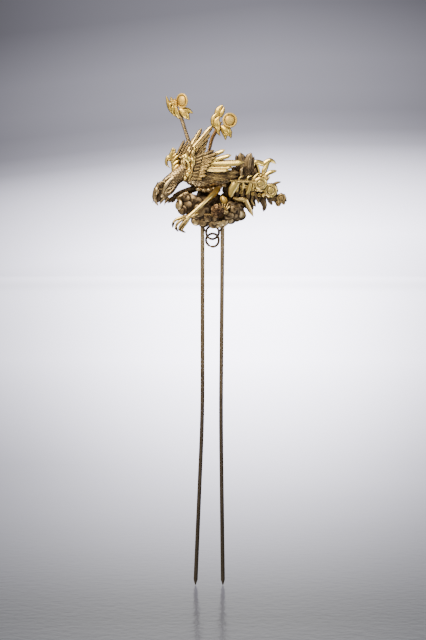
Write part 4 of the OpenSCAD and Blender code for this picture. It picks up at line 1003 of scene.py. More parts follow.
# %% Near leg
TOE_TONE, CLAW_TONE = 0.85, 0.2
CLAW_ALONG, KNUCKLES_ALONG = (0.76, 0.85, 0.93, 1.0), (0.28, 0.5, 0.7)
NEAR_TOES = [
    [(188.5, 215, -9.1), (183, 216.2, -9.5), (177.2, 218.4, -9.6), (174, 221.6, -9.5),
     (173.2, 226.8, -9.3)],
    [(188.5, 215.8, -9.1), (182.5, 218.6, -9.4), (178.4, 222.0, -9.5), (176.4, 226.4, -9.4),
     (178.9, 230.6, -9.2)],
    [(189, 216.4, -9.1), (185.2, 220.2, -9.2), (181.4, 224.4, -9.2), (179.8, 227.6, -9.1),
     (181.8, 230.4, -9.0)],
    [(189.6, 216.8, -9.1), (187.2, 221, -8.9), (183.4, 226.0, -8.7), (182.2, 229.4, -8.7),
     (186.2, 231.4, -8.8)],
    [(198.5, 212.6, -8.6), (194.5, 214.6, -9.4), (190.5, 217.4, -9.3)],
]
near_leg = Casting("leg_near_cast")
strand(near_leg, [(217.5, 189.5, -2.0), (213, 194.5, -5.6), (203.5, 203.0, -8.4),
                  (194.5, 211, -9.0), (188, 217, -9.1)],
       (1.2, 1.0, 0.8, 0.7, 0.76), sides=14, steps=40, proud=0.8)
grain(near_leg, spot(188, 217, -9.1), 0.95, (1.1, 1, 0.9), sides=14)
for toe in NEAR_TOES:
    points = [spot(*p) for p in toe]
    near_leg.tone = TOE_TONE
    wire(near_leg, points, (0.5, 0.55, 0.5, 0.4, 0.08), sides=12, steps=28)
    near_leg.tone = CLAW_TONE
    wire(near_leg, [on_curve(points, s) for s in CLAW_ALONG],
         (0.5, 0.4, 0.25, 0.07), sides=12, steps=12)
    near_leg.tone = TOE_TONE
    for s in KNUCKLES_ALONG:
        grain(near_leg, on_curve(points, s) + Vector((0, -0.08, 0.05)), 0.56 - 0.12 * s,
              (1, 0.9, 0.85))
near_leg.pour(bright_gilding, "bright_gilt", "leg_near")

# %% [markdown]
# ## The far leg
# The far leg shows only where it passes behind the head. Dark feathers hide its root, and its
# shank is wrapped by fine rings of skin, which are loops of very thin wire. A bumpy wire would
# be quicker, but it loses the crisp lines that catch the light.

# %% Far leg
def ringed_shank(cast, points, radii, rings):
    """A leg whose skin lies in rings."""
    wire(cast, points, radii, sides=14, steps=40, proud=0.6)
    for k in range(1, rings):
        s = k / rings
        centre, ahead = on_curve(points, s), heading(points, s)
        side = ahead.cross(TOWARD_VIEWER).normalized()
        out = side.cross(ahead)
        r = along_table(radii, s) * 1.02
        loop = [centre + r * (math.cos(t) * side + math.sin(t) * out)
                for t in [math.tau * i / 10 for i in range(11)]]
        wire(cast, loop, (0.07, 0.07), sides=5, steps=20, proud=1.0, face=ahead)


FAR_TOES = [[(174, 197.5, 3.5), (169.5, 199.8, 3.8), (165.8, 203.4, 3.6)],
            [(174, 198, 3.5), (171, 201, 2.6), (167.6, 203.6, 2.2)],
            [(175.5, 197.5, 3.5), (174, 200.5, 3.4), (171.5, 203.4, 3.2)]]
far_leg = Casting("leg_far_cast")
far_leg.tone = 0.3
leaves(far_leg, [(9.0, (206, 186), (203.5, 191), (200.5, 196), (199.5, 201)),
                 (7.0, (211, 187), (209.5, 192), (206, 197), (204, 202))], 1.6, faced(0.4),
       thick=1.6, swell=BLUNT)
far_leg.tone = 0.85
leaves(far_leg, [(8.5, (189, 193.5), (182.5, 197), (176.5, 199.5))], 2.0, faced(0.3),
       thick=1.4, swell=BLUNT)
ringed_shank(far_leg, [spot(198, 187.5, 2.2), spot(190, 190.5, 3.2), spot(181, 193.2, 3.6),
                       spot(173.5, 197.5, 3.5)], (1.3, 1.15, 0.95, 0.85), 16)
for toe in FAR_TOES:
    strand(far_leg, toe, (0.6, 0.5, 0.07), sides=10, steps=18, proud=0.6)
far_leg.pour(worn_gilding, "worn_gilt", "leg_far")

# %% [markdown]
# ## Bosses and eyes
# The round plates of the sprays and the eyes of the tail are made alike: a disc is raised on
# a punch, the plate into a dome and the eye into a flat button, with a narrow groove round it
# and a rim. A short profile turned round its axis makes them all, and a wave in the radius
# gives the eyes their petalled rim. A torus round a ball would have no groove between them.

# %% Shape of a boss
EYE_PROFILE = [(0.0, 0.21, 0.85), (0.2, 0.21, 0.88), (0.39, 0.20, 0.8), (0.43, 0.17, 0.2),
               (0.46, 0.15, 0.0), (0.50, 0.15, 0.0), (0.53, 0.18, 0.4), (0.58, 0.20, 0.9),
               (0.74, 0.18, 0.94), (0.87, 0.12, 0.85), (0.96, 0.04, 0.5), (1.0, -0.03, 0.2),
               (0.9, -0.09, 0.3), (0.4, -0.13, 0.3), (0.0, -0.14, 0.3)]
PLATE_PROFILE = [(0.0, 0.30, 0.72), (0.22, 0.29, 0.72), (0.42, 0.24, 0.7), (0.58, 0.16, 0.66),
                 (0.64, 0.11, 0.5), (0.68, 0.05, 0.1), (0.73, 0.05, 0.1), (0.78, 0.10, 0.85),
                 (0.88, 0.11, 0.95), (0.95, 0.10, 0.9), (1.0, 0.04, 0.35), (0.98, -0.02, 0.2),
                 (0.6, -0.08, 0.3), (0.0, -0.10, 0.3)]


def boss(cast, centre, r, face, profile, petals=0, wave=0.0, sides=40):
    """Turns a profile of (radius, height, proud) shares round the face direction."""
    side = face.cross(Vector((0, 0, 1))).normalized()
    up = side.cross(face)
    rings, prouds = [], []
    for reach, height, proud in profile:
        ring, stands = [], []
        for i in range(sides):
            t = math.tau * i / sides
            petal = abs(math.cos(0.5 * petals * t))
            edge = 1 + wave * reach ** 3 * (petal - 0.6)
            outward = math.cos(t) * side + math.sin(t) * up
            ring.append(centre + r * (max(reach, 0.02) * edge * outward + height * face))
            stands.append(proud - 0.3 * (1 - petal) * reach ** 3)
        rings.append(ring)
        prouds.append(stands)
    cast.skin(rings, prouds)


print("eye profile", len(EYE_PROFILE), "plate profile", len(PLATE_PROFILE))

# %% [markdown]
# ## The top plume
# Three plumes lie behind each other. A plume has a spine, leaf-shaped barbs that hang from it,
# a few tight curls between them, and an eye at its end. The face of a barb is bright and its
# cut edge is darkened as painted shade, and that dark edge is what draws each leaf from its
# neighbour. The top plume lies nearest to the viewer and is the brightest. Hair particles
# along the spine would be quick, but they could not be read off a drawing leaf by leaf.

# %% Top plume
HOOKED = (0.7, 0.95, 1.0, 0.85, 0.6, 0.08)
TOP_LEAVES = [
    (3.0, (236.5, 184), (237.5, 188.5), (236.0, 193)),
    (3.2, (242.5, 182.5), (243.2, 186.5), (241.8, 191)),
    (4.8, (250, 182), (249.8, 187), (248.2, 191.5), (245.4, 194.8)),
    (3.8, (256, 183.5), (257.5, 187), (256.2, 190.6)),
    (2.8, (253, 183), (253.2, 187), (251.2, 190.5)),
    (3.4, (252.5, 181.5), (254.3, 177.5), (258.4, 172.8)),
    (2.8, (246.5, 181), (248, 177.5), (252, 175.5)),
    (2.6, (238, 180.5), (240.5, 177), (244, 176)),
]
plume_top = Casting("tail_plume_top_cast")
leaves(plume_top, TOP_LEAVES, -2.0, faced(0.2, -0.2), thick=0.9, swell=HOOKED)
leaves(plume_top, [(9.4, (238.4, 180.8), (234.6, 185), (231.8, 190.5), (230.4, 197.4))], -2.2,
       faced(), thick=1.0, swell=(0.6, 0.9, 1.0, 0.95, 0.7, 0.3))
leaves(plume_top, [(4.0, (229.5, 180.2), (239, 181.4), (249, 181.8), (258, 183))], -2.35,
       fluted(2.0, 16), thick=1.2, swell=(0.8, 1, 0.9, 0.8, 0.7), steps=60)
boss(plume_top, spot(260.2, 183.4, -2.35), 7.0 * SQUARE, TOWARD_VIEWER, EYE_PROFILE, 9, 0.08)
curls(plume_top, [(243.4, 186.6, 40), (257.4, 186.4, 120), (253.3, 178.6, 200),
                  (234.8, 184.6, 300), (265.6, 177.8, 90)], -2.3, 0.62, 0.3)
plume_top.pour(bright_gilding, "bright_gilt", "tail_plume_top")

# %% [markdown]
# ## The middle plume
# The plume behind it is a tangle of narrow barbs in deep shade, so its barbs get a low tone,
# while its spine, its curls and its eye are rubbed bright. Darker paint on every barb would do
# as well, but the tone keeps one gilding for the whole plume.

# %% Middle plume
MIDDLE_LEAVES = [
    (6.0, (234, 184), (237, 190), (236.5, 196), (233.5, 200.5)),
    (5.2, (240, 186), (242.5, 192), (241.5, 198), (238.5, 202)),
    (5.0, (245, 187), (248, 193), (247.5, 199), (246, 203)),
    (3.4, (254, 190), (255.5, 196), (257.6, 200.5), (258.2, 204.2)),
    (4.0, (251, 189), (252.8, 196), (251.5, 201.5), (254.8, 206.4)),
    (2.8, (260, 191), (260.3, 196), (258.8, 200)),
    (3.2, (272.5, 186.5), (275.5, 183.4), (281, 182)),
    (3.0, (266, 186), (262, 190), (258, 191)),
]
plume_middle = Casting("tail_plume_middle_cast")
plume_middle.tone = 0.35
leaves(plume_middle, MIDDLE_LEAVES, 0.2, faced(0.3, -0.2), thick=0.8, swell=HOOKED)
plume_middle.tone = 1.0
strand(plume_middle, [(231, 182.5, 0.3), (244, 187, 0.3), (257, 190, 0.2),
                      (267, 190.5, -0.2)], (0.85, 0.7, 0.6, 0.6))
boss(plume_middle, spot(270.3, 190.5, -0.45), 7.6 * SQUARE, TOWARD_VIEWER, EYE_PROFILE, 10, 0.07)
grain(plume_middle, spot(263.3, 194.8, -0.5), 0.85, (1, 0.8, 1))
curls(plume_middle, [(247.6, 190.6, 60), (240.8, 192, 200), (259, 195.6, 320),
                     (253.4, 193.6, 150)], -0.2, 0.7, 0.32)
plume_middle.pour(bright_gilding, "bright_gilt", "tail_plume_middle")

# %% [markdown]
# ## The low plume
# The lowest plume lies farthest back and reaches farthest out. Its barbs end in free tips, and
# two cupped buttons hang beside its eye. Each button is a flat grain with a curl of wire on
# it; a boss would be too sharp for something so small and worn.

# %% Low plume
LOW_BARBS = [
    (6.8, (263.5, 195), (262.8, 200.5), (264.4, 206), (263.4, 212)),
    (5.4, (269.5, 196), (269.6, 200.5), (272.2, 205.4)),
    (5.0, (275, 198), (276.6, 202), (279.6, 206.2)),
    (4.0, (281, 199), (284, 200.4), (287, 201)),
    (5.4, (248, 190), (250, 196), (249.5, 202), (252, 207.4)),
    (5.6, (240, 187), (243.5, 193), (243, 199), (245.5, 205)),
    (5.6, (235, 186), (237.5, 192), (237.5, 198), (240, 203.5)),
    (3.6, (258, 194), (259.4, 199), (257.6, 204)),
    (7.0, (249, 190), (252.6, 196), (252.8, 202), (255.8, 207)),
    (6.0, (235, 181.5), (244, 184), (254, 187.5)),
    (7.0, (264, 193.5), (271, 198), (279, 201.5)),
]
plume_low = Casting("tail_plume_low_cast")
plume_low.tone = 0.3
leaves(plume_low, LOW_BARBS, 1.75, faced(0.35, 0.2), thick=0.8, swell=HOOKED)
strand(plume_low, [(231, 183.5, 1.9), (243, 188.5, 1.9), (257, 193, 1.7), (270, 195.5, 1.5),
                   (279, 197.5, 1.3)], (0.85, 0.8, 0.7, 0.6))
plume_low.tone = 0.75
boss(plume_low, spot(281, 198.4, 1.0), 5.2 * SQUARE, TOWARD_VIEWER, EYE_PROFILE, 8, 0.16)
for col, row, depth, squares in [(278.2, 204.0, 0.9, 3.3), (283.6, 203.2, 1.2, 2.0)]:
    curl(plume_low, spot(col, row, depth), squares * SQUARE * 0.8, 0.5, 1.2, 100)
    grain(plume_low, spot(col, row, depth + 0.35), squares * SQUARE * 0.85, (1, 0.5, 1))
plume_low.pour(warm_gilding, "warm_gilt", "tail_plume_low")

# %% [markdown]
# ## The crown of the tail
# Over the plumes rises a crown of pointed leaves: two broad ones that part at the top, narrower
# ones between them and dark ones behind. Thirteen curls lie on their feet, for that part of
# the pin is nearly solid filigree. The curls are spread by a little arithmetic, which fills
# the patch evenly and yet without a visible pattern.

# %% Crown of the tail
CROWN_CURLS = 13
CROWN_ARCHES = [
    (9.4, (244.5, 179), (243.5, 170), (241.4, 160.5), (240.2, 153.0)),
    (9.2, (247.0, 179), (246.5, 170), (247.8, 161), (251.0, 153.2)),
    (3.6, (243.0, 171), (242.6, 165), (241.0, 158)),
    (3.6, (248.0, 170), (248.4, 164), (250.0, 158)),
]
CROWN_LEAVES = [
    (5.0, (251.5, 179), (251.5, 170), (251.8, 163), (254.0, 156.8)),
    (4.2, (240.5, 178), (238.2, 170), (236.6, 162), (236, 154.6)),
    (4.6, (236.5, 180), (234.5, 174), (233.6, 168)),
    (4.8, (252.5, 181), (254.8, 175), (254.8, 168)),
    (5.6, (240.0, 181), (238.6, 175), (239.0, 168)),
]
CROWN_DARK = [
    (9.0, (244, 181), (240.5, 176), (236.5, 171.5), (231.5, 168)),
    (8.0, (240, 181), (236, 178), (231, 173)),
    (9.0, (248, 182), (252.5, 177), (254.5, 170), (254.5, 164.5)),
    (8.0, (253, 184), (257.5, 179), (260.5, 173)),
]
crown = Casting("tail_crown_cast")
crown.tone = 0.62
leaves(crown, CROWN_ARCHES, -1.3, faced(0.35, 0.3), thick=0.95,
       swell=(0.8, 1, 1, 1, 0.85, 0.15))
crown.tone = 0.45
leaves(crown, CROWN_LEAVES, -0.9, faced(0.5, 0.3), thick=0.8, swell=(0.8, 1, 1, 0.9, 0.7, 0.1))
crown.tone = 0.2
leaves(crown, CROWN_DARK, 0.3, fluted(2.4, 9), thick=0.8, swell=(0.8, 1, 1, 0.95, 0.75, 0.2))
crown.tone = 0.45
for k in range(CROWN_CURLS):
    s = k / (CROWN_CURLS - 1)
    col, row = 238 + 15 * s + 1.4 * math.sin(7 * s), 168 + 9.5 * ((5 * k) % 7) / 6.0
    curl(crown, spot(col, row, -1.75), 0.75, 0.34, 1.4, 77 * k, hand=1 if k % 2 else -1)
crown.tone = 1.0
strand(crown, [(242.6, 167.5, -2.0), (240.8, 172, -2.2), (241.8, 178, -2.0)],
       (0.35, 0.75, 0.5))
crown.tone = 0.6
strand(crown, [(234.5, 181.5, -1.1), (244, 179.5, -1.1), (254, 179, -1.1)], (0.9, 0.9))
crown.pour(worn_gilding, "worn_gilt", "tail_crown")

# %% [markdown]
# ## The flame
# To the right of the crown a long leaf rises, bends over and runs out in waves like a flame.
# Five shorter leaves brace it from below. A long blade needs more steps along its line than a
# short one, or its waves turn into corners.

# %% Flame of the tail
FLAME_LEAVES = [
    (5.6, (252.6, 179.5), (251.8, 172), (252.4, 166.5), (254.8, 162.6), (258.6, 162.6),
     (263.7, 164.2), (267.6, 161.7), (270.2, 160.7), (273.2, 162), (275.8, 164.2)),
    (5.4, (267.6, 163), (266.0, 167), (263.8, 171.2), (262.0, 177)),
    (3.0, (256.4, 163.6), (257.6, 167.5), (259.0, 173), (259.5, 179)),
    (4.4, (259.5, 181), (263.5, 177), (268.6, 173.2), (272.5, 171.8), (276.6, 171)),
    (3.4, (262.5, 182), (266.5, 179.5), (269.2, 176.2)),
    (3.6, (256, 181), (258.5, 177), (263, 174.5)),
]
flame = Casting("tail_flame_cast")
leaves(flame, FLAME_LEAVES, -0.45, faced(), thick=0.95,
       swell=(0.7, 0.75, 0.8, 0.9, 0.95, 1.0, 0.85, 0.6, 0.1), steps=40)
curls(flame, [(258.5, 177.5, 20), (263.4, 174.5, 140), (266.4, 178.8, 260),
              (261.4, 179.6, 80)], -0.95, 0.72, 0.32)
flame.pour(bright_gilding, "bright_gilt", "tail_flame")

# %% [markdown]
# ## Leaves under the tail
# Below the plumes one bright bent leaf hangs in front of a thicket of dark ones. Dark metal
# behind is what makes the front leaf stand out, so the thicket is built and not left empty. A
# dark plate would do the same from the front, but from below it would look like a plate.

# %% Leaves under the tail
HANGING = [
    (6.4, (233, 198), (238, 200), (244.6, 200.4), (247, 204.6), (249.8, 209.6), (253.2, 216.8)),
    (5.2, (235.5, 186), (234, 193), (234.5, 199)),
    (4.8, (240, 187), (241.5, 194), (240.5, 200)),
    (4.2, (246, 202), (250.5, 204.5), (252.8, 210)),
    (4.0, (237.5, 200), (239.5, 205), (243, 208.5)),
    (3.6, (243, 195), (248, 198.5), (251, 204)),
    (6.0, (233, 183), (229, 189), (226.6, 197)),
    (5.6, (236, 184), (232, 192), (230.5, 201)),
    (5.0, (230, 184.5), (226, 187), (222.6, 192.6)),
    (5.0, (231, 196), (229.6, 201), (232.6, 206)),
    (5.0, (241, 199), (244, 204.5), (247.4, 208)),
    (6.4, (229.5, 197), (233, 202.5), (238.5, 208)),
    (5.6, (230, 184), (226.4, 188.6), (223.6, 193)),
]
low_leaves = Casting("tail_leaves_low_cast")
leaves(low_leaves, HANGING[:1], -0.6, faced(), thick=0.95, swell=(0.8, 1.0, 1.0, 1.0, 0.8, 0.1),
       steps=36)
low_leaves.tone = 0.35
leaves(low_leaves, HANGING[1:], 1.0, faced(), thick=0.95, swell=(0.6, 0.9, 1.0, 1.0, 0.8, 0.1),
       steps=36)
curls(low_leaves, [(237.5, 194, 20), (243.2, 197.6, 140), (246.6, 201.4, 260)], 0.45, 0.8, 0.34)
low_leaves.pour(warm_gilding, "warm_gilt", "tail_leaves_low")

# %% [markdown]
# ## Springs
# The two ornaments over the bird tremble on springs of thin wire, wound so tightly that they
# look like twisted rope. The wire is a helix round the bent axis of each spring. A dark core
# that follows the same axis stands for the wire's shaded inner side, which shows between the
# turns. A rope texture on a plain rod would be lighter, but its outline would be straight.

# %% Springs
COIL_REACH, COIL_WIRE, CORE = 0.43, 0.25, 0.24
COIL_SIDES, STEPS_PER_TURN = 7, 13


def coil(cast, axis, turns):
    """Winds a wire round an axis."""
    count = turns * STEPS_PER_TURN
    places, outs = [], []
    for j in range(count + 1):
        s = j / count
        ahead = heading(axis, s)
        side = ahead.cross(TOWARD_VIEWER).normalized()
        out = side.cross(ahead)
        t = math.tau * turns * s
        outs.append(math.cos(t) * side + math.sin(t) * out)
        places.append(on_curve(axis, s) + COIL_REACH * outs[-1])
    round_the_wire = [math.tau * i / COIL_SIDES for i in range(COIL_SIDES)]
    rings = []
    for j in range(count + 1):
        along = (places[min(j + 1, count)] - places[max(j - 1, 0)]).normalized()
        across = along.cross(outs[j]).normalized()
        rings.append([places[j] + COIL_WIRE * (math.cos(t) * outs[j] - math.sin(t) * across)
                      for t in round_the_wire])
    # The wire's inner side, toward the axis, gets a low number: painted shade, like the core.
    outer_side = [0.25 + 0.6 * max(math.cos(t), 0.0) for t in round_the_wire]
    cast.skin(rings, [outer_side] * len(rings))


LEFT_AXIS = [Vector((-5.78, 0, 21.75)), Vector((-6.29, 0, 24.66)), Vector((-7.14, 0, 27.21)),
             Vector((-8.16, 0, 29.76)), Vector((-8.84, 0, 31.8)), Vector((-9.69, 0, 34.52)),
             Vector((-10.37, 0, 36.56)), Vector((-11.22, 0, 38.45))]
RIGHT_AXIS = [Vector((-1.7, 0, 21.1)), Vector((-1.57, 0, 24.33)), Vector((-0.82, 0, 27.6)),
              Vector((-0.19, 0, 30.13)), Vector((0.82, 0, 32.14)), Vector((1.58, 0, 33.4))]
for name, axis, turns, metal, slot in [("left", LEFT_AXIS, 36, worn_gilding, "worn_gilt"),
                                       ("right", RIGHT_AXIS, 27, coil_gilding, "dark_wire")]:
    spring = Casting(f"spring_{name}_cast")
    coil(spring, axis, turns)
    wire(spring, axis, (CORE, CORE), sides=8, steps=20, proud=0.0)
    spring.pour(metal, slot, f"spring_{name}")

# %% [markdown]
# ## The sprays
# Each spring carries leaves and curled petals like the wings of a butterfly. The same blades
# are used, and the broad petals get a curl of wire laid on them, as they have on the pin. The
# sprays are yellower and duller than the bird, so they have a gilding of their own.

# %% Sprays
PETAL = (0.45, 0.85, 1.0, 1.0, 0.85, 0.45, 0.1)
LEFT_PETALS = [
    (5.4, (177.5, 117, 0.2), (171.8, 110.5, 0), (168.8, 104, 0), (166.4, 97.0, 0)),
    (5.4, (178.5, 116.5, 0.1), (175.4, 109, 0), (172.6, 102.5, 0), (171.0, 97.8, 0)),
    (3.6, (176, 110, 0), (175.6, 104, 0), (174.6, 99.0, 0)),
    (3.2, (174, 103.5, -0.4), (170.6, 105.0, -0.5), (170.2, 108, -0.5), (170.8, 111.2, -0.3)),
    (3.8, (177, 106, -0.5), (173.4, 108.0, -0.8), (173.0, 112, -0.7), (173.8, 116.4, -0.4)),
    (5.0, (180.4, 119.2, 0.1), (177.4, 114.5, -0.5), (176, 109, -0.6), (175.8, 104, -0.5)),
    (6.4, (179.5, 110.5, -0.2), (184.5, 111.2, -0.4), (189, 111.8, -0.4), (193.0, 114, -0.2)),
    (7.6, (180.5, 110, -0.4), (184, 113.6, -0.7), (187, 117, -0.6), (189.6, 120.4, -0.3)),
]
RIGHT_PETALS = [
    (6.8, (217.4, 118, 0), (217.6, 114, 0), (219.4, 109.6, 0), (222.9, 105.6, 0)),
    (4.4, (220.4, 118, -0.3), (221.6, 114, -0.4), (223.0, 111, -0.3), (223.9, 107.4, -0.1)),
    (5.6, (217.0, 130, 0), (213.6, 124, -0.1), (213.8, 118, -0.1), (217.4, 113.0, 0)),
    (7.2, (219.0, 129, -0.4), (217.2, 126, -0.8), (217.0, 121.4, -0.8), (219.6, 117.0, -0.5)),
    (4.2, (218.0, 125, -0.5), (218.3, 129.5, -0.8), (218.2, 133, -0.7), (220.4, 136.6, -0.4)),
    (5.6, (220.5, 128.0, -0.2), (223.6, 131.6, -0.5), (225.2, 135.6, -0.4), (225.4, 140.6, -0.2)),
    (6.4, (221, 126.5, -0.2), (226.4, 129.4, -0.4), (229.4, 133.2, -0.3), (231.0, 138.8, -0.1)),
    (6.8, (221.5, 127, -0.6), (225.0, 130.2, -1.0), (227.8, 133.2, -0.9), (228.6, 136.8, -0.6)),
    (3.4, (215.6, 134, 0.2), (217.8, 128, 0.3), (222, 122, 0.5)),
]
spray_gilding = gilding("spray_gilding", (1.0, 0.68, 0.13), (0.76, 0.50, 0.13),
                        (0.15, 0.10, 0.05), rubbed=-0.01, polish=0.4)
SPRAYS = [("left", LEFT_PETALS, [(173.9, 105.4, 40), (185.0, 113.4, 200)], LEFT_AXIS[-1]),
          ("right", RIGHT_PETALS, [(217.4, 121.8, 20), (226.4, 133.2, 220)], RIGHT_AXIS[-1])]
for name, petals, wound, spring_top in SPRAYS:
    spray = Casting(f"spray_{name}_cast")
    leaves(spray, petals, 0.0, faced(), thick=0.95, swell=PETAL, steps=26, stagger=0.05)
    curls(spray, wound, -1.25, 0.72, 0.36, 1.0)
    grain(spray, spring_top + Vector((0, 0, 0.45)), 0.62, (1.1, 1.1, 0.8), sides=12)
    spray.pour(spray_gilding, "bright_gilt", f"spray_{name}")

# %% [markdown]
# ## Round plates
# A plate sits on each spray, turned a little aside. The left one is seen slantwise, so it
# reads as an oval, and the right one nearly flat. Their domes are deep yellow and matt, so they
# get a rough gilding; polished ones would mirror the room and turn grey.

# %% Round plates
def aside(turn):
    """The level direction that a plate faces when it is turned about the upright."""
    return Vector((math.sin(math.radians(turn)), -math.cos(math.radians(turn)), 0))


plate_gilding = gilding("plate_gilding", (0.95, 0.66, 0.17), (0.76, 0.48, 0.11),
                        (0.16, 0.09, 0.035), rubbed=0.08, polish=0.6)
for name, centre, turn, wide in [("left", (-10.3, -0.62, 42.9), -40, 5.2),
                                 ("right", (5.85, -0.62, 36.4), 12, 5.1)]:
    plate = Casting(f"disc_{name}_cast")
    boss(plate, Vector(centre), wide / 2, aside(turn), PLATE_PROFILE, sides=56)
    plate.pour(plate_gilding, "warm_gilt", f"disc_{name}")

# %% [markdown]
# ## A lobe of cloud
# The base is a wreath of scrolled cloud lobes, which are flattened and run into each other. A
# lobe is a flat ball with a groove that winds in toward the side that faces out, as a chaser
# would cut it. Cutting the groove into the mesh keeps it sharp, and lets the dirt settle in it.
# The half of a lobe that faces in and down gets a low number too, as painted shade.

# %% Shape of a cloud lobe
LOBE_ROWS, LOBE_SIDES, LOBE_FLAT, LOBE_SWELL = 18, 30, 0.5, 1.22


def scrolled_lobe(cast, centre, r, face, turns, start, hand, long):
    """A flat ball whose face carries a spiral groove."""
    side = face.cross(Vector((0, 0, 1))).normalized()
    up = side.cross(face)
    rings, prouds = [], []
    for j in range(LOBE_ROWS + 1):
        lean = math.pi * (j + 0.1) / (LOBE_ROWS + 0.2)
        ring, proud = [], []
        for i in range(LOBE_SIDES):
            t = math.tau * i / LOBE_SIDES
            wind = (turns * lean / (0.6 * math.pi) - hand * (t / math.tau) - start) % 1.0
            fade = min(1.0, lean / 0.35) * max(0.0, min(1.0, (2.2 - lean) / 0.5))
            groove = math.exp(-((wind - 0.5) / 0.13) ** 2) * fade
            reach = r * (1 - 0.17 * groove)
            ring.append(centre + reach * (math.sin(lean) * (long * math.cos(t) * side
                        + math.sin(t) * up) + LOBE_FLAT * math.cos(lean) * face))
            # The half that faces in and down is darkened as painted shade.
            rim = max(0.0, min(1.0, (lean - 0.95) / 0.6))
            proud.append(max(0.95 - 0.95 * groove - 0.75 * rim, 0.0))
        rings.append(ring)
        prouds.append(proud)
    cast.skin(rings, prouds)


print("a lobe has", (LOBE_ROWS + 1) * LOBE_SIDES, "points")

# %% [markdown]
# ## Banks of cloud
# The wreath is cast in five banks: a mound in the middle, whose dark tone is a painted shade
# for it lies deep among the others, and one bank on each side of it. A vine of wire runs
# through the lobes of a bank, and small curls fill the gaps. A few lobes at the outer rim get
# the brightest tone. Scattering lobes at random would be quicker, but the front ones are read
# off the drawing and belong where they are.

# %% Banks of cloud
def cloud(name, lobes, vine, metal, slot, tone, fillers=(), bright=()):
    """Casts one bank of cloud; a lobe is x, y, z and radius in millimetres."""
    cast = Casting(f"{name}_cast")
    for k, (x, y, z, r) in enumerate(lobes):
        # A lobe looks outward from the middle of the dish and a little up.
        face = Vector((0.5 * x, 3.0 * y - 0.3, 0.8)).normalized()
        cast.tone = 1.0 if k in bright else tone
        scrolled_lobe(cast, Vector((x, y, z)), r * LOBE_SWELL, face, 0.8 + 0.15 * (k % 3),
                      0.37 * k, 1 if k % 2 else -1, 1.0 + 0.16 * (k % 3))
    cast.tone = 0.7 * tone
    wire(cast, [Vector(lobes[k][:3]) for k in vine], (0.55, 0.55), steps=6 * len(vine))
    for col, row, depth, reach, turn in fillers:
        curl(cast, spot(col, row, depth), reach, 0.36, 1.4, turn, hand=1 if turn % 40 else -1)
    cast.pour(metal, slot, name)


MOUND = [(-4.16, 0, 7.14, 2.31), (-0.32, -2.72, 7.14, 2.04), (3.52, 0, 7.82, 2.45),
         (6.4, 0.32, 6.87, 2.04), (4.8, 1.28, 10.0, 1.84), (0, 3.04, 7.14, 2.04),
         (-1.2, -1.2, 9.0, 1.9), (1.2, -0.4, 9.9, 1.7), (-3.4, -0.6, 9.0, 1.8),
         (4.6, 0.3, 11.2, 1.3), (0.4, 0.2, 11.2, 1.2)]
LEFT_BANK = [(-11.3, -1.44, 7.9, 1.6), (-10.08, -2.08, 6.19, 1.5), (-8.9, -1.6, 9.7, 1.6),
             (-6.6, -2.24, 9.4, 1.75), (-8.0, -2.4, 7.4, 1.9), (-9.6, 0, 7.82, 1.5),
             (-8.32, 1.92, 8.09, 1.63), (-6.4, 2.88, 8.91, 1.5), (-8.0, -0.32, 5.92, 1.63),
             (-9.4, -2.0, 10.7, 0.95), (-7.3, -2.0, 10.7, 1.0), (-5.1, -2.8, 9.2, 1.35)]
FRONT_BANK = [(-5.6, -5.44, 2.65, 1.5), (-3.04, -5.92, 2.18, 1.5), (-4.8, -6.4, 4.96, 1.56),
              (-2.72, -6.56, 6.05, 1.7), (0.32, -5.92, 1.7, 1.36), (2.08, -5.76, 1.7, 1.22),
              (-4.64, -5.44, 7.0, 1.36), (-1.4, -6.4, 3.6, 1.25), (-6.3, -4.9, 4.6, 1.1),
              (0.9, -6.7, 3.5, 1.0)]
RIGHT_BANK = [(4.0, -5.6, 2.38, 1.29), (6.08, -4.8, 3.06, 1.36), (9.12, -2.56, 4.56, 1.7),
              (7.36, -4.64, 6.05, 1.7), (10.08, 0, 5.51, 1.36), (5.7, -6.0, 4.4, 1.2),
              (8.48, 1.92, 4.15, 1.63), (8.0, -0.64, 3.88, 1.63), (7.0, -4.9, 4.2, 1.2),
              (9.3, -2.4, 6.9, 1.3), (6.1, -4.6, 7.9, 1.15)]
BACK_BANK = [(-4.96, 5.92, 5.24, 1.7), (-2.24, 6.88, 6.19, 1.77), (0.8, 7.04, 5.51, 1.7),
             (3.52, 6.56, 5.92, 1.77), (6.08, 4.96, 5.1, 1.7), (-2.24, 6.72, 2.79, 1.5),
             (2.08, 6.72, 2.65, 1.5), (-0.7, 6.2, 8.0, 1.2), (5.2, 5.4, 7.2, 1.2)]

# The mound's low tone is a painted shade.
cloud("cloud_mound", MOUND, [0, 8, 6, 1, 7, 10, 7, 2, 3, 4, 9, 4, 2, 5, 0], cloud_gilding,
      "worn_gilt", 0.3, [(203, 203.5, -4.2, 0.9, 20), (208.5, 201.5, -4.4, 1.0, 120),
                         (213.5, 201, -4.2, 0.9, 210), (232, 206.5, -3.4, 0.9, 80),
                         (236, 204.5, -2.8, 0.9, 160), (228.5, 202, -3.0, 0.8, 250)])
cloud("cloud_left", LEFT_BANK, [0, 1, 8, 5, 6, 7, 3, 2, 9, 10, 11, 4], cloud_gilding,
      "bright_gilt", 0.46, bright=(0,))
cloud("cloud_front", FRONT_BANK, [0, 8, 6, 3, 7, 1, 4, 9, 5], cloud_gilding, "warm_gilt", 0.6,
      [(209.5, 216, -7.3, 0.9, 30), (213.5, 218.5, -7.0, 0.8, 200)], bright=(0, 5))
cloud("cloud_right", RIGHT_BANK, [0, 1, 8, 3, 10, 9, 2, 7, 6, 4], cloud_gilding, "warm_gilt",
      0.55, [(235.5, 208.5, -5.8, 0.8, 30), (226.5, 217.5, -6.2, 0.8, 190),
             (241, 210, -2.6, 0.8, 100)], bright=(0, 1, 2))
cloud("cloud_back", BACK_BANK, [5, 0, 1, 7, 2, 3, 8, 4, 6], worn_gilding, "worn_gilt", 0.8)

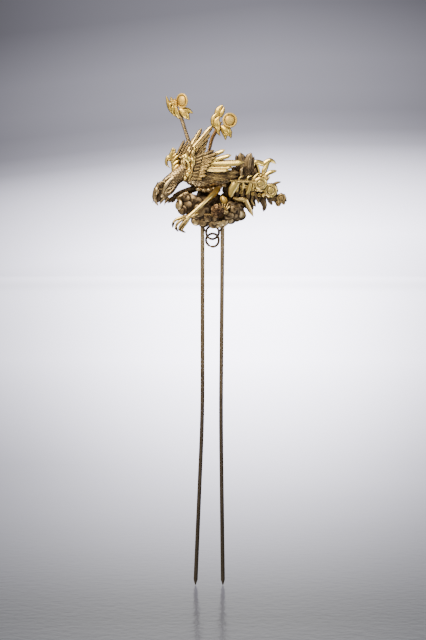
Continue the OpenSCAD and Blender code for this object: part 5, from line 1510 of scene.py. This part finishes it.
# %% [markdown]
# ## The blossom
# A flower with two rows of petals sits at the front of the clouds, browner than all around it.
# Petals are short blades set round a centre, and cupped toward the viewer so that each
# catches the light on its rim. A curl of wire stands for the stamens. A disc with a wavy edge
# would be lighter, but its petals would not overlap.

# %% Blossom
BLOSSOM_AT = Vector((1.6, -7.7, 6.1))
PETAL_ROWS = [(7, 2.25, 1.75, 0.0, 0), (5, 1.45, 1.25, 0.4, 30)]
blossom_gilding = gilding("blossom_gilding", (0.66, 0.46, 0.25), (0.32, 0.19, 0.09),
                          (0.08, 0.045, 0.028), rubbed=-0.08, polish=0.36)
blossom = Casting("blossom_cast")
blossom.tone = 0.5
for count, reach, wide, lift, turn in PETAL_ROWS:
    middle = BLOSSOM_AT + lift * TOWARD_VIEWER
    for k in range(count):
        t = math.tau * k / count + math.radians(turn)
        out = Vector((math.cos(t), 0, math.sin(t)))
        points = [middle + along * reach * out + raised * TOWARD_VIEWER
                  for along, raised in ((0.15, 0), (0.6, 0.25), (1.0, 0.05))]
        blade(blossom, points, wide, 0.5, BLUNT, faced(0.3), steps=12, across=8, cup=0.35)
curl(blossom, BLOSSOM_AT + 0.9 * TOWARD_VIEWER, 0.7, 0.34, 1.2, 30)
grain(blossom, BLOSSOM_AT + 0.5 * TOWARD_VIEWER, 0.6, (1, 0.9, 1))
blossom.pour(blossom_gilding, "warm_gilt", "blossom")

# %% [markdown]
# ## The fan
# Beside the blossom stands a fan of striped leaves. The stripes are narrow bright blades in
# front of broad ones, five over six. The broad ones get a dark tone, a painted shade, which
# gives a deeper shadow between two stripes than grooves in one plate would.

# %% Fan of striped leaves
FAN_AT, FAN_LEN, FAN_BLADES = Vector((3.84, -5.9, 5.3)), 3.5, 11
FAN_FIRST, FAN_STEP = 126, 8.5
fan = Casting("fan_leaf_cast")
for k in range(FAN_BLADES):
    t = math.radians(FAN_FIRST - FAN_STEP * k)
    bright = k % 2
    tip = FAN_LEN * (1.0 if bright else 0.9) * Vector((math.cos(t), 0, math.sin(t)))
    foot = FAN_AT + Vector((0, 0.06 * k - (0.8 if bright else 0.0), 0))
    # The broad blades behind get a dark tone as painted shade.
    fan.tone = 1.0 if bright else 0.2
    blade(fan, [foot, foot + 0.5 * tip + 0.35 * TOWARD_VIEWER, foot + tip],
          (0.13 if bright else 0.24) * FAN_LEN, 0.5, FEATHER, faced(), steps=16, across=10)
fan.tone = 0.6
grain(fan, FAN_AT + Vector((0.5, -0.9, 0.3)), 0.95, (1.3, 0.8, 0.9), sides=16)
grain(fan, FAN_AT + Vector((-1.1, -0.9, -0.3)), 0.6, (1.2, 0.8, 0.9), sides=14)
fan.pour(warm_gilding, "warm_gilt", "fan_leaf")

# %% [markdown]
# ## The bud
# Over the blossom leans a plump bud, as yellow as the round plates. It is a wire that swells
# and closes to a point, with four sepals laid round it. `aside` gives the way each sepal
# faces, as it did for the plates. A turned profile would do for a straight bud, but this one
# is bent.

# %% Bud
BUD_FOOT = Vector((4.26, -5.11, 7.19))
BUD_LEAN = [(0, 0, 0), (-0.2, 0, 1.1), (-0.5, 0, 2.7), (-1.0, 0, 3.8)]
SEPALS, SEPAL_LIFT = (-75, -5, 70, 180), (0.2, 0.55, 1.0, 0.25)
bud_axis = [BUD_FOOT + Vector(step) for step in BUD_LEAN]
bud = Casting("bud_cast")
bud.tone = 0.75
wire(bud, bud_axis, (0.4, 0.6, 0.9, 1.0, 0.7, 0.1), sides=18, steps=20)
for turn in SEPALS:
    face = aside(turn)
    points = [p + face * lift for p, lift in zip(bud_axis, SEPAL_LIFT)]
    blade(bud, points, 1.5, 0.35, PETAL, faced(0.3), face, steps=18, across=7)
bud.pour(plate_gilding, "bright_gilt", "bud")

# %% [markdown]
# ## Prongs and dish
# These are plain drawn and turned parts, and the model already has their right shape, so its
# own meshes stay and only get a finish. The prongs live in hair and in the hand: the gold
# holds near the top, and turns to brown bronze toward the tips, partly as tarnish and partly
# as a painted darker reflection of the table, so their recipe darkens with the way down. They
# carry no `proud` number, so only hollows, with their dirt and painted shade, and
# blotches mark them.

# %% Finish of the plain parts
prong_gilding = gilding("prong_gilding", (0.96, 0.75, 0.46), (0.44, 0.325, 0.195),
                        (0.115, 0.088, 0.066), dirt_and_shade=(0.034, 0.027, 0.021), rubbed=0.05,
                        polish=0.15, chased=False, tarnish_and_reflection=0.66)
dish_gilding = gilding("dish_gilding", (0.60, 0.42, 0.18), (0.34, 0.21, 0.08),
                       (0.10, 0.055, 0.022), rubbed=-0.12, polish=0.34, chased=False)
for name, metal in [("prong_left", prong_gilding), ("prong_right", prong_gilding),
                    ("base_dish", dish_gilding)]:
    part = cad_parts[name]
    part.data.materials.clear()
    part.data.materials.append(metal)
    print(name, "finished with", metal.name)

# %% [markdown]
# ## Linked rings
# Two rings of thick brown wire hang in each other between the prongs, each bent round until
# its ends meet. A bought ring would be a perfect torus; here the wire swells and dips a little
# and shows its seam, as hand-drawn wire does. A short hook on each side holds the upper one.

# %% Linked rings
RING_R, RING_WIRE, SEAM_WIRE = 2.22, 0.41, 0.28
RING_STEPS, BENT_ROUND = 40, 358
RINGS = [("ring_upper", -1.51, 13.5, 100), ("ring_lower", -4.11, -13.5, 250)]
HOOK = [(3.5, -1.0, 1.6), (3.0, -1.05, 0.2), (2.35, -0.8, -1.2)]
UP = Vector((0, 0, 1))
ring_wire = gilding("ring_wire", (0.30, 0.22, 0.14), (0.19, 0.135, 0.085), (0.10, 0.07, 0.046),
                    rubbed=-0.2, polish=0.5, chased=False)


def bent_ring(high, turn, seam):
    """The line of a ring in its upright plane, from one end of the wire to the other."""
    across = Vector((math.cos(math.radians(turn)), math.sin(math.radians(turn)), 0))
    line = []
    for j in range(RING_STEPS + 1):
        t = math.radians(seam + BENT_ROUND * j / RING_STEPS)
        reach = RING_R + 0.03 * math.sin(3 * t + turn)
        line.append(high * UP + reach * (math.cos(t) * across + math.sin(t) * UP))
    return line


for name, high, turn, seam in RINGS:
    ring = Casting(f"{name}_cast")
    thick = [RING_WIRE * (1 + 0.05 * math.sin(2.3 * j)) for j in range(20)]
    wire(ring, bent_ring(high, turn, seam), [SEAM_WIRE] + thick + [SEAM_WIRE], sides=14,
         steps=120, proud=0.5)
    if name == "ring_upper":
        for side in BOTH_SIDES:
            wire(ring, [Vector((side * x, y, z)) for x, y, z in HOOK], (0.3, 0.32, 0.22),
                 sides=12, steps=16, proud=0.4)
    ring.pour(ring_wire, "dark_wire", name)

# %% [markdown]
# ## Size of the dressed pin
# The dressed pin should fill the same box as the bare model, so the sizes of both are printed
# side by side.

# %% Compare the boxes
dressed_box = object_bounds()
for axis, label in enumerate(("wide", "deep", "high")):
    bare = cad_box[1][axis] - cad_box[0][axis]
    full = dressed_box[1][axis] - dressed_box[0][axis]
    print(f"{label}: bare {bare * 1000:.1f} mm, dressed {full * 1000:.1f} mm")
